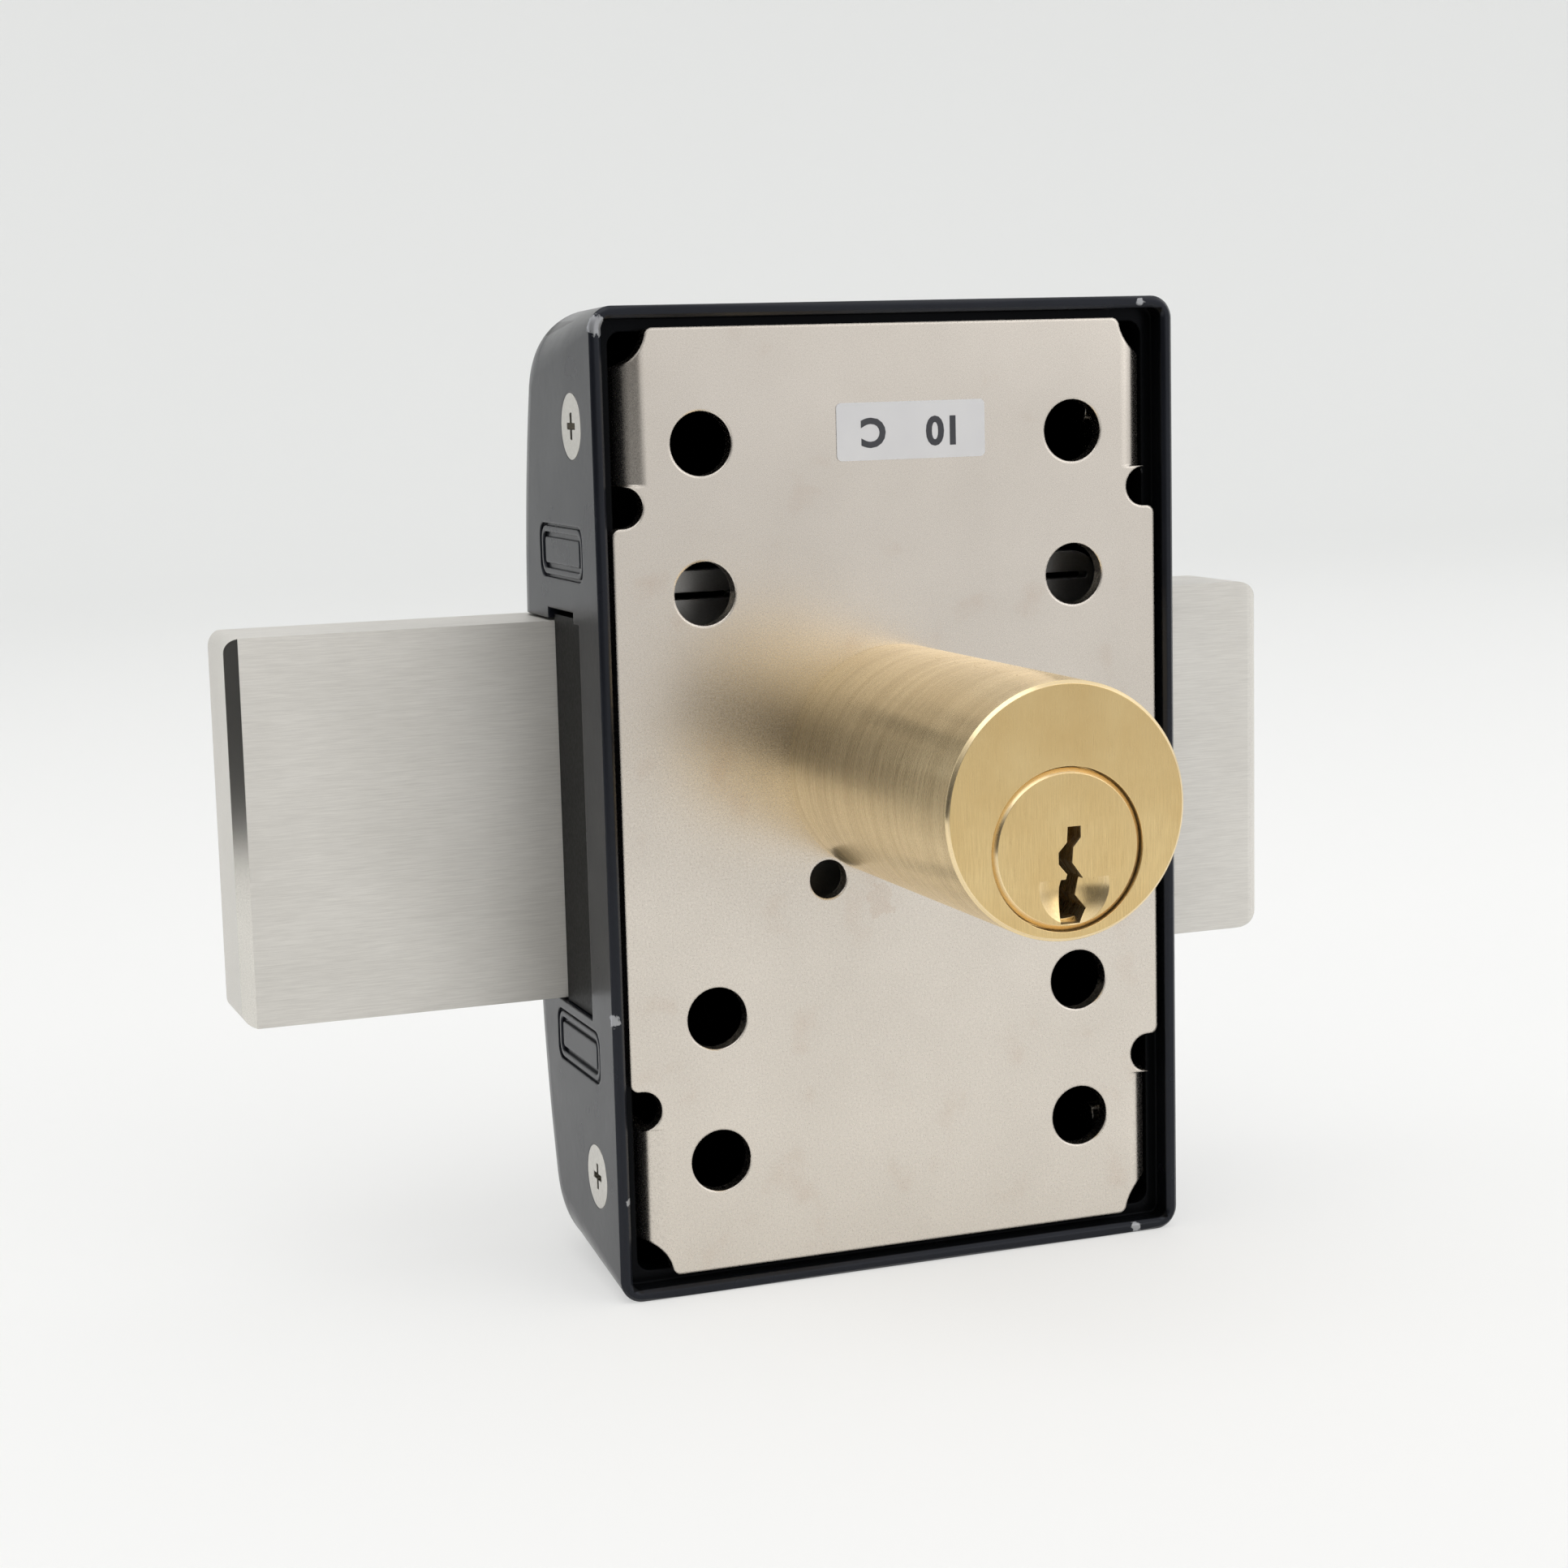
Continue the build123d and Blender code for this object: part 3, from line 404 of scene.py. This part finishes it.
@dataclass(frozen=True)
class Nickel:
    """Satin or brushed nickel plate on steel."""

    name: str
    colour: str
    shade: str
    grain: Grain
    roughness: float
    grain_mm: float = 0.12
    grain_depth_mm: float = 0.0025
    stains: float = 0.0
    edge_mm: float = 0.15
    marks: Tuple[Spot, ...] = ()
    sheen: float = 1.0
    polished: bool = False
    streak: str = "#8d877f"
    stain: str = "#b98a66"
    mark: str = "#b08a68"

    def slants(self, graph: Surface) -> Value:
        """Marks polished slanting faces, such as a chamfer between two brushed faces.

        Args:
            graph: The material.

        Returns:
            The mask, 1 on a slanting face.
        """
        if not self.polished:
            return 0.0
        normal = graph.add("SeparateXYZ", {0: graph.add("NewGeometry").outputs["True Normal"]}).outputs
        steep = [graph.between(graph.maths("ABSOLUTE", normal[axis]), 0.5, 0.6) for axis in (0, 1)]
        return graph.maths("MULTIPLY", *steep)

    def build(self) -> bpy.types.Material:
        """Makes the material.

        Returns:
            The finished material.
        """
        graph = Surface(self.name)
        fine = graph.noise(self.grain_mm, self.grain, detail=4.0, roughness=0.65)
        cloud = graph.noise(14.0, detail=3.0)
        tone = graph.blend(graph.between(cloud, 0.3, 0.7), srgb(self.colour), srgb(self.shade))
        toned = graph.blend(graph.between(fine, 0.35, 0.75, 0.0, 0.22), tone, srgb(self.streak))
        if self.stains:
            spots = graph.between(graph.noise(7.0, detail=4.0), 0.6, 0.74, 0.0, self.stains)
            toned = graph.blend(spots, toned, srgb(self.stain))
        ragged = graph.noise(1.5, detail=3.0)
        for mark in self.marks:
            share = graph.maths("MULTIPLY", graph.near(mark.place, mark.radius, ragged), 0.12)
            toned = graph.blend(share, toned, srgb(self.mark))
        slant = self.slants(graph)
        rough = graph.between(fine, 0.3, 0.7, self.roughness - 0.05, self.roughness + 0.07)
        graph.set(
            Base_Color=toned,
            Metallic=graph.between(slant, 0.0, 1.0, self.sheen, 1.0),
            Roughness=graph.maths("MULTIPLY", rough, graph.between(slant, 0.0, 1.0, 1.0, 0.25)),
            Normal=graph.relief(fine, self.grain_depth_mm, graph.soft_edges(self.edge_mm)),
        )
        return graph.material


@dataclass(frozen=True)
class TurnedBrass:
    """Satin brass, turned on its round side and brushed upright on its face; the round side has a colour of
    its own, which is painted light where it is lighter than the face.
    """

    name: str
    colour: str = "#e5ca93"
    shade: str = "#dcbe85"
    painted_light_barrel_colour: str = "#f9e2b4"
    roughness: float = 0.22
    groove_mm: float = 0.16
    brushing: float = 0.35
    turning: float = 0.8
    band: str = "#a68a5c"
    streak: str = "#9f855a"

    def build(self) -> bpy.types.Material:
        """Makes the material.

        Returns:
            The finished material.
        """
        graph = Surface(self.name)
        turned = graph.noise(self.groove_mm, Grain.AROUND_KEY_AXIS, detail=4.0, roughness=0.6)
        broad = graph.noise(1.3, Grain.AROUND_KEY_AXIS, detail=3.0)
        brushed = graph.noise(0.1, Grain.UPRIGHT, detail=4.0, roughness=0.6)
        normal = graph.add("SeparateXYZ", {0: graph.add("NewGeometry").outputs["True Normal"]}).outputs[1]
        on_face = graph.between(graph.maths("ABSOLUTE", normal), 0.8, 0.95)
        lines = graph.add("Mix", {0: on_face, 2: turned, 3: brushed}).outputs[0]
        cloud = graph.noise(6.0)
        face_tone = graph.blend(graph.between(cloud, 0.3, 0.7), srgb(self.colour), srgb(self.shade))
        # Painted light: the round side gets a lighter brass than the face, standing in for brighter light on
        # the barrel.
        tone = graph.blend(on_face, srgb(self.painted_light_barrel_colour), face_tone)
        banded = graph.blend(graph.between(broad, 0.42, 0.62, 0.0, 0.18), tone, srgb(self.band))
        rough = graph.between(lines, 0.3, 0.7, self.roughness - 0.06, self.roughness + 0.08)
        way = {0: on_face, 1: graph.maths("SUBTRACT", 1.0, on_face), 2: 0.0}
        graph.set(
            Base_Color=graph.blend(graph.between(lines, 0.4, 0.75, 0.0, 0.22), banded, srgb(self.streak)),
            Metallic=1.0,
            Roughness=graph.maths("ADD", rough, graph.between(on_face, 0.0, 1.0, 0.04, 0.0)),
            Normal=graph.relief(lines, 0.004, graph.soft_edges(0.1)),
            Anisotropic=graph.between(on_face, 0.0, 1.0, self.turning, self.brushing),
            Tangent=graph.add("CombineXYZ", way).outputs[0],
        )
        return graph.material


@dataclass(frozen=True)
class Moulded:
    """Plain material with fine grain, such as nylon, paper or ink."""

    name: str
    colour: str
    shade: str
    roughness: float
    grain_mm: float
    depth_mm: float
    index: float = 1.45

    def build(self) -> bpy.types.Material:
        """Makes the material.

        Returns:
            The finished material.
        """
        graph = Surface(self.name)
        fine = graph.noise(self.grain_mm, detail=4.0)
        cloud = graph.noise(8.0)
        graph.set(
            Base_Color=graph.blend(graph.between(cloud, 0.35, 0.7), srgb(self.colour), srgb(self.shade)),
            IOR=self.index,
            Roughness=graph.between(fine, 0.3, 0.7, self.roughness - 0.05, self.roughness + 0.05),
            Normal=graph.relief(fine, self.depth_mm),
        )
        return graph.material


Finish = Union[PowderCoat, Nickel, TurnedBrass, Moulded]

CHIPS = (
    Spot((-29.9, 0.1, 46.4), 0.95),
    Spot((-30.5, 0.2, -19.8), 0.7),
    Spot((-29.4, 0.0, -38.0), 0.45),
    Spot((25.6, 0.0, -47.5), 0.6),
    Spot((26.9, 0.0, 47.6), 0.45),
)
STAINS = (Spot((-2.2, 0.8, -10.6), 1.6),)
FINISHES: Dict[str, Finish] = {
    # Black powder coat: a soft sheen over fine orange peel, with small bright chips along the rim, and painted
    # shade inward of the rim.
    "case_paint": PowderCoat("powder_coated_casting", room=(29.28, 46.98), chips=CHIPS),
    # The same coat without chips: a whole, even black knob.
    "knob_paint": PowderCoat("powder_coated_knob", wear=0.0),
    # Satin nickel: a warm pale grey of fine even grain, with faint brown stains.
    "plate_nickel": Nickel("satin_nickel_plate", "#e2dacf", "#dad2c7", Grain.EVEN, 0.25, grain_mm=0.2,
                           stains=0.12, edge_mm=0.35, marks=STAINS),
    # Brushed nickel: fine level lines and a wide, matt sheen, with darkly polished chamfers.
    "bolt_nickel": Nickel("brushed_nickel_bolt", "#e6e3dc", "#dcd9d2", Grain.LENGTHWISE, 0.46,
                          grain_depth_mm=0.0004, edge_mm=0.1, sheen=0.35, polished=True),
    # Bright nickel: smooth pale heads that stand out from the black side.
    "screw_nickel": Nickel("bright_nickel_screw", "#d2cfc8", "#c2bfb8", Grain.EVEN, 0.22, grain_mm=0.4,
                           grain_depth_mm=0.001),
    # Zinc-plated steel: a cool, dull grey seen only through the holes.
    "inner_steel": Nickel("zinc_plated_steel", "#dddcd9", "#cbcac7", Grain.EVEN, 0.42),
    # Blued spring steel: dark, with a faint shine along the strip.
    "spring_steel": Nickel("blued_spring_steel", "#6e6d6c", "#585757", Grain.LENGTHWISE, 0.3),
    # Satin brass: rings round the barrel and upright lines on the face, in a soft pale gold, with the barrel
    # painted a lighter brass as painted light.
    "cylinder_brass": TurnedBrass("satin_turned_brass"),
    # Plain brass: deeper and duller than the cylinder.
    "bush_brass": TurnedBrass("plain_turned_brass", "#c59f5a", "#a98547", "#c59f5a", 0.34),
    # Moulded nylon: a black with hardly any shine, so that the slot looks deep.
    "guide_plastic": Moulded("moulded_black_nylon", "#0c0c0c", "#121211", 0.5, 0.35, 0.006, 1.26),
    # Matt paper: an even, slightly cold white.
    "label_paper": Moulded("white_paper_label", "#dededf", "#d8d8da", 0.5, 0.18, 0.004),
}
BADGES: Dict[str, float] = {"upper": 24.7, "lower": -24.7}
# Printed ink: a dark grey without shine, a little softer than black.
INK = Moulded("printed_label_ink", "#3c3d42", "#47484d", 0.55, 0.2, 0.002)


def mesh_piece(name: str, bm: bmesh.types.BMesh, material: bpy.types.Material, body: Body) -> bpy.types.Object:
    """Turns a bmesh into a piece that rides on a body.

    Args:
        name: The piece's name.
        bm: The shape, in metres in the shared frame. It is freed.
        material: The piece's finish.
        body: The body that the piece rides on.

    Returns:
        The new object.
    """
    bmesh.ops.recalc_face_normals(bm, faces=bm.faces)
    mesh = bpy.data.meshes.new(name)
    bm.to_mesh(mesh)
    bm.free()
    mesh.materials.append(material)
    piece = bpy.data.objects.new(name, mesh)
    bpy.context.scene.collection.objects.link(piece)
    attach(piece, body.value)
    LOG.info("piece %s has %d faces", name, len(mesh.polygons))
    return piece


@dataclass
class Badge:
    """A bare badge place on the case's side: a raised border round a low tablet, in the casting's pocket."""

    name: str
    middle_z: float
    finish: bpy.types.Material
    floor_x: float = -30.09
    middle_y: float = 12.0
    length: float = 13.9
    height: float = 4.8
    corner: float = 1.5
    border: float = 0.6
    groove: float = 0.5
    rise: float = 0.36
    tablet_rise: float = 0.3
    edge: float = 0.1

    def blank(self, inset: float) -> bmesh.types.BMesh:
        """Makes a flat rounded rectangle about the origin.

        Args:
            inset: How much smaller it is than the border's outline, in millimetres.

        Returns:
            The flat shape, as one face.
        """
        bm = bmesh.new()
        bmesh.ops.create_grid(bm, x_segments=1, y_segments=1, size=0.5)
        bmesh.ops.scale(bm, vec=(self.height - 2 * inset, self.length - 2 * inset, 1), verts=bm.verts)
        bmesh.ops.bevel(bm, geom=bm.verts[:], offset=self.corner - inset, offset_type="OFFSET", segments=6,
                        profile=0.5, affect="VERTICES", material=-1)
        return bm

    def raised(self, bm: bmesh.types.BMesh, rise: float) -> bmesh.types.BMesh:
        """Makes a flat shape thick, softens its upper edges and puts it in its pocket.

        Args:
            bm: The flat shape.
            rise: Its thickness in millimetres.

        Returns:
            The same shape, in metres and in place.
        """
        solid = bmesh.ops.extrude_face_region(bm, geom=bm.faces[:])
        top = {item for item in solid["geom"] if isinstance(item, bmesh.types.BMVert)}
        bmesh.ops.translate(bm, vec=(0, 0, rise), verts=list(top))
        rims = [edge for edge in bm.edges if top.issuperset(edge.verts)
                and sum(face.calc_center_median().z > rise * 0.99 for face in edge.link_faces) == 1]
        bmesh.ops.bevel(bm, geom=rims, offset=self.edge, offset_type="OFFSET", segments=2, profile=0.5,
                        affect="EDGES", material=-1)
        turn = Matrix.Rotation(math.radians(-90), 4, "Y")
        place = Matrix.Translation(Vector((self.floor_x, self.middle_y, self.middle_z)) * MM)
        bmesh.ops.transform(bm, matrix=place @ turn @ Matrix.Scale(MM, 4), verts=bm.verts)
        return bm

    def build(self) -> List[bpy.types.Object]:
        """Adds the border and the tablet.

        Returns:
            Both pieces.
        """
        ring = self.blank(0.0)
        inset = bmesh.ops.inset_region(ring, faces=ring.faces[:], thickness=self.border, use_even_offset=True,
                                         use_boundary=True)
        outer = set(inset["faces"])
        bmesh.ops.delete(ring, geom=[face for face in ring.faces if face not in outer], context="FACES")
        tablet = self.blank(self.border + self.groove)
        shapes = {"border": self.raised(ring, self.rise), "tablet": self.raised(tablet, self.tablet_rise)}
        return [mesh_piece(f"badge_{part}_{self.name}", bm, self.finish, Body.ROOT)
                for part, bm in shapes.items()]


@dataclass
class BoltBar:
    """The through bolt with crisp long edges, a chamfered left end and a rounded right end."""

    finish: bpy.types.Material
    left_corner: float = 1.5
    left_chamfer: float = 1.25
    right_corner: float = 3.0
    right_round: float = 1.8
    round_steps: int = 7
    slot_half_height: float = 3.3
    slot_left: float = -28.43
    slot_right: float = 3.3

    def flat_shape(self, low: Vector, high: Vector) -> bmesh.types.BMesh:
        """Makes the bolt's face seen from the door side, with the shaft's slot.

        Args:
            low: The CAD bolt's lowest corner, in millimetres.
            high: The CAD bolt's highest corner, in millimetres.

        Returns:
            A flat shape in X and Z.
        """
        bm = bmesh.new()
        bmesh.ops.create_grid(bm, x_segments=1, y_segments=1, size=0.5)
        bmesh.ops.scale(bm, vec=(high.x - low.x, high.z - low.z, 1), verts=bm.verts)
        middle = (low + high) / 2
        bmesh.ops.translate(bm, vec=(middle.x, middle.z, 0), verts=bm.verts)
        for side_x, corner in ((low.x, self.left_corner), (high.x, self.right_corner)):
            ends = [vert for vert in bm.verts if abs(vert.co.x - side_x) < TINY]
            bmesh.ops.bevel(bm, geom=ends, offset=corner, offset_type="OFFSET", segments=8, profile=0.5,
                            affect="VERTICES", material=-1)
        outline = bm.edges[:]
        bmesh.ops.delete(bm, geom=bm.faces[:], context="FACES_ONLY")
        ring = bmesh.ops.create_circle(bm, cap_ends=False, segments=32, radius=self.slot_half_height)["verts"]
        left = [vert for vert in ring if vert.co.x < 0]
        bmesh.ops.translate(bm, vec=(self.slot_left + self.slot_half_height, 0, 0), verts=left)
        loop = {edge for vert in ring for edge in vert.link_edges}
        bmesh.ops.triangle_fill(bm, edges=outline + list(loop), use_beauty=True)
        upright = Matrix.Rotation(math.radians(90), 4, "X")
        bmesh.ops.transform(bm, matrix=upright, verts=bm.verts)
        return bm

    def trim(self, bm: bmesh.types.BMesh, place: Vector, outward: Vector) -> None:
        """Cuts off what lies outside a plane and closes the cut.

        Args:
            bm: The solid, in millimetres.
            place: A point of the plane.
            outward: The way that is cut off.
        """
        cut = bmesh.ops.bisect_plane(bm, geom=bm.verts[:] + bm.edges[:] + bm.faces[:], dist=TINY,
                                     plane_co=place, plane_no=outward, clear_outer=True)
        rim = [item for item in cut["geom_cut"] if isinstance(item, bmesh.types.BMEdge)]
        bmesh.ops.holes_fill(bm, edges=rim, sides=0)

    def build(self) -> bpy.types.Object:
        """Makes the bolt in the place of its CAD node.

        Returns:
            The bolt.
        """
        low, high = (Vector(corner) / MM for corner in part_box("bolt"))
        bm = self.flat_shape(low, high)
        bmesh.ops.translate(bm, vec=(0, low.y, 0), verts=bm.verts)
        solid = bmesh.ops.extrude_face_region(bm, geom=bm.faces[:])
        far = [item for item in solid["geom"] if isinstance(item, bmesh.types.BMVert)]
        bmesh.ops.translate(bm, vec=(0, high.y - low.y, 0), verts=far)
        for near, face_y in ((-1, low.y), (1, high.y)):
            self.trim(bm, Vector((low.x + self.left_chamfer, face_y, 0)), Vector((-1, near, 0)))
            centre = Vector((high.x - self.right_round, face_y - near * self.right_round, 0))
            for step in range(1, self.round_steps):
                turn = math.radians(90) * step / self.round_steps
                way = Vector((math.sin(turn), near * math.cos(turn), 0))
                self.trim(bm, centre + way * self.right_round, way)
        bmesh.ops.scale(bm, vec=(MM, MM, MM), verts=bm.verts)
        piece = mesh_piece("bolt_bar", bm, self.finish, Body.BOLT)
        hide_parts("bolt")
        return piece


@dataclass
class Label:
    """The print on the paper label: a plain generic size code, upside down as the label is stuck."""

    ink: bpy.types.Material
    text: str = "10    C"
    size: float = 3.8
    weight: float = 0.035
    centre: Tuple[float, float] = (2.15, 35.7)
    face_y: float = 0.7
    thickness: float = 0.012

    def build(self) -> bpy.types.Object:
        """Makes the printed characters.

        Returns:
            The print as one mesh.
        """
        curve = bpy.data.curves.new("label_print", "FONT")
        curve.body = self.text
        curve.size = self.size * MM
        curve.offset = self.weight * self.size * MM
        curve.align_x = "CENTER"
        curve.align_y = "CENTER"
        curve.extrude = self.thickness / 2 * MM
        curve.resolution_u = 4
        holder = bpy.data.objects.new("label_print_curve", curve)
        bpy.context.scene.collection.objects.link(holder)
        bpy.context.view_layer.update()
        graph = bpy.context.evaluated_depsgraph_get()
        flat = bpy.data.meshes.new_from_object(holder.evaluated_get(graph))
        bpy.data.objects.remove(holder)
        bm = bmesh.new()
        bm.from_mesh(flat)
        bmesh.ops.remove_doubles(bm, verts=bm.verts, dist=1e-7)
        upright = Matrix.Rotation(math.radians(90), 4, "X")
        over = Matrix.Rotation(math.radians(180), 4, "Y")
        x, z = self.centre
        place = Matrix.Translation(Vector((x, self.face_y - self.thickness / 2, z)) * MM)
        bmesh.ops.transform(bm, matrix=place @ over @ upright, verts=bm.verts)
        return mesh_piece("label_print", bm, self.ink, Body.ROOT)


@dataclass
class Studio:
    """The floor, the white room, the lights and the camera."""

    floor_z: float = -48.2
    camera_mm: Tuple[float, float, float] = (-110.892, -263.516, 43.004)
    lens: float = 67.08
    camera_turns: Tuple[float, float, float] = (-20.509, 81.696, -1.463)
    even_share: float = 0.5
    floor_back: float = 0.8
    floor_side: float = 2.5
    table_reach: float = 0.34
    sweep_radius: float = 0.8
    wall_rise: float = 2.5
    paper: str = "#f1f1ef"
    floor_tone: str = "#fdfdfc"
    wall_tone: str = "#d5d7d6"
    tone_reach: Tuple[float, float] = (0.15, 0.9)
    horizon_seen: str = "#efefed"
    sky_seen: str = "#e7e9e8"
    far_gloom: str = "#3a3a3a"

    def camera(self) -> None:
        """Places the camera where the photograph was taken."""
        data = bpy.data.cameras.new("camera")
        data.lens = self.lens
        data.sensor_width = 36.0
        data.clip_start = 0.01
        camera = bpy.data.objects.new("camera", data)
        around, tilt, roll = (math.radians(angle) for angle in self.camera_turns)
        aim = Matrix.Rotation(around, 4, "Z") @ Matrix.Rotation(tilt, 4, "X")
        turn = aim @ Matrix.Rotation(roll, 4, "Z")
        camera.matrix_world = Matrix.Translation(Vector(self.camera_mm) * MM) @ turn
        bpy.context.scene.collection.objects.link(camera)
        bpy.context.scene.camera = camera

    def floor(self) -> None:
        """Lays the floor with a backdrop that rises behind it in one sweep."""
        bm = bmesh.new()
        for half_width, front, rear in ((self.floor_side, 0.0, self.floor_back),
                                        (self.table_reach, -self.table_reach, 0.0)):
            sheet = bmesh.ops.create_grid(bm, x_segments=1, y_segments=1, size=0.5)["verts"]
            bmesh.ops.scale(bm, vec=(2 * half_width, rear - front, 1), verts=sheet)
            bmesh.ops.translate(bm, vec=(0, (front + rear) / 2, self.floor_z * MM), verts=sheet)
        back = [edge for edge in bm.edges if all(vert.co.y > self.floor_back / 2 for vert in edge.verts)]
        centre = Vector((0, self.floor_back, self.floor_z * MM + self.sweep_radius))
        swept = bmesh.ops.spin(bm, geom=back, cent=centre, axis=(1, 0, 0), angle=math.radians(90),
                               steps=24, use_merge=False, use_duplicate=False)
        last = [item for item in swept["geom_last"] if isinstance(item, bmesh.types.BMEdge)]
        risen = bmesh.ops.extrude_edge_only(bm, edges=last)
        top = [item for item in risen["geom"] if isinstance(item, bmesh.types.BMVert)]
        bmesh.ops.translate(bm, vec=(0, 0, self.wall_rise), verts=top)
        bmesh.ops.recalc_face_normals(bm, faces=bm.faces)
        mesh = bpy.data.meshes.new("studio_sweep")
        bm.to_mesh(mesh)
        bm.free()
        for face in mesh.polygons:
            face.use_smooth = True
        sweep = bpy.data.objects.new("studio_sweep", mesh)
        bpy.context.scene.collection.objects.link(sweep)
        graph = Surface("white_studio_paper")
        graph.set(Base_Color=srgb(self.paper), Roughness=0.7)
        tone = graph.blend(graph.between(graph.along(1), *self.tone_reach), srgb(self.floor_tone),
                           srgb(self.wall_tone))
        glow = graph.add("Emission", {"Color": tone, "Strength": 1.0}).outputs[0]
        rays = graph.add("LightPath").outputs
        direct = graph.maths("MAXIMUM", rays["Is Camera Ray"], rays["Is Transmission Ray"])
        seen = graph.maths("MULTIPLY", graph.maths("MAXIMUM", direct, rays["Is Glossy Ray"]), self.even_share)
        paper = graph.add("MixShader", {0: seen, 1: graph.shader.outputs[0], 2: glow}).outputs[0]
        graph.feed(graph.tree.nodes["Material Output"].inputs["Surface"], paper)
        mesh.materials.append(graph.material)

    def world(self) -> None:
        """Makes the room: bright all round but for a dark part behind the camera, above the table."""
        world = bpy.data.worlds.new("white_room")
        bpy.context.scene.world = world
        world.use_nodes = True
        graph = Nodes(world.node_tree)
        x, y, z = graph.add("SeparateXYZ", {0: graph.add("TexCoord").outputs["Generated"]}).outputs
        room = graph.ramp(z, ROOM_LIGHT)
        gloom = graph.blend(graph.between(x, -0.6, -0.9), graph.ramp(z, GLOOM_LIGHT), srgb(self.far_gloom))
        behind = graph.maths("MULTIPLY", graph.between(x, 0.18, 0.05), graph.between(y, -0.03, -0.13))
        lit = graph.blend(behind, room, gloom)
        seen = graph.blend(graph.between(z, -0.02, 0.25), srgb(self.horizon_seen), srgb(self.sky_seen))
        camera_ray = graph.add("LightPath").outputs["Is Camera Ray"]
        graph.feed(graph.tree.nodes["Background"].inputs[0], graph.blend(camera_ray, lit, seen))

    def sun(self, name: str, turn: Tuple[float, float], strength: float, spread: float) -> None:
        """Adds one broad even light.

        Args:
            name: The light's name.
            turn: Its compass angle from the camera's side and its height, in degrees.
            strength: Its strength.
            spread: How wide it looks, in degrees.
        """
        data = bpy.data.lights.new(name, "SUN")
        data.energy = strength
        data.angle = math.radians(spread)
        around, up = (math.radians(angle) for angle in turn)
        place = Vector((math.sin(around) * math.cos(up), -math.cos(around) * math.cos(up), math.sin(up)))
        light = bpy.data.objects.new(name, data)
        light.matrix_world = place.to_track_quat("Z", "Y").to_matrix().to_4x4()
        bpy.context.scene.collection.objects.link(light)

    def build(self) -> None:
        """Sets up the whole studio."""
        self.camera()
        self.floor()
        self.world()
        self.sun("overhead_softbox", (-50, 68), 0.55, 50)
        self.sun("right_softbox", (42, 20), 0.3, 40)
        scene = bpy.context.scene
        scene.view_settings.view_transform = "Standard"
        scene.view_settings.look = "None"


class Dresser:
    """Gives every CAD node the finish of its material slot."""

    def __init__(self) -> None:
        """Builds one material for each slot."""
        self.materials = {slot: finish.build() for slot, finish in FINISHES.items()}

    def dress(self) -> None:
        """Puts the finishes on the CAD nodes."""
        for part in frame["record"]["subparts"]:
            mesh = frame["nodes"][part["node"]].data
            mesh.materials.clear()
            mesh.materials.append(self.materials[part["material_slot"]])


def main() -> None:
    """Builds the whole picture."""
    logging.basicConfig(level=logging.INFO)
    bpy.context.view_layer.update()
    dresser = Dresser()
    dresser.dress()
    BoltBar(dresser.materials["bolt_nickel"]).build()
    for name, middle_z in BADGES.items():
        Badge(name, middle_z, dresser.materials["case_paint"]).build()
    Label(INK.build()).build()
    Studio().build()


if __name__ == "__main__":
    main()
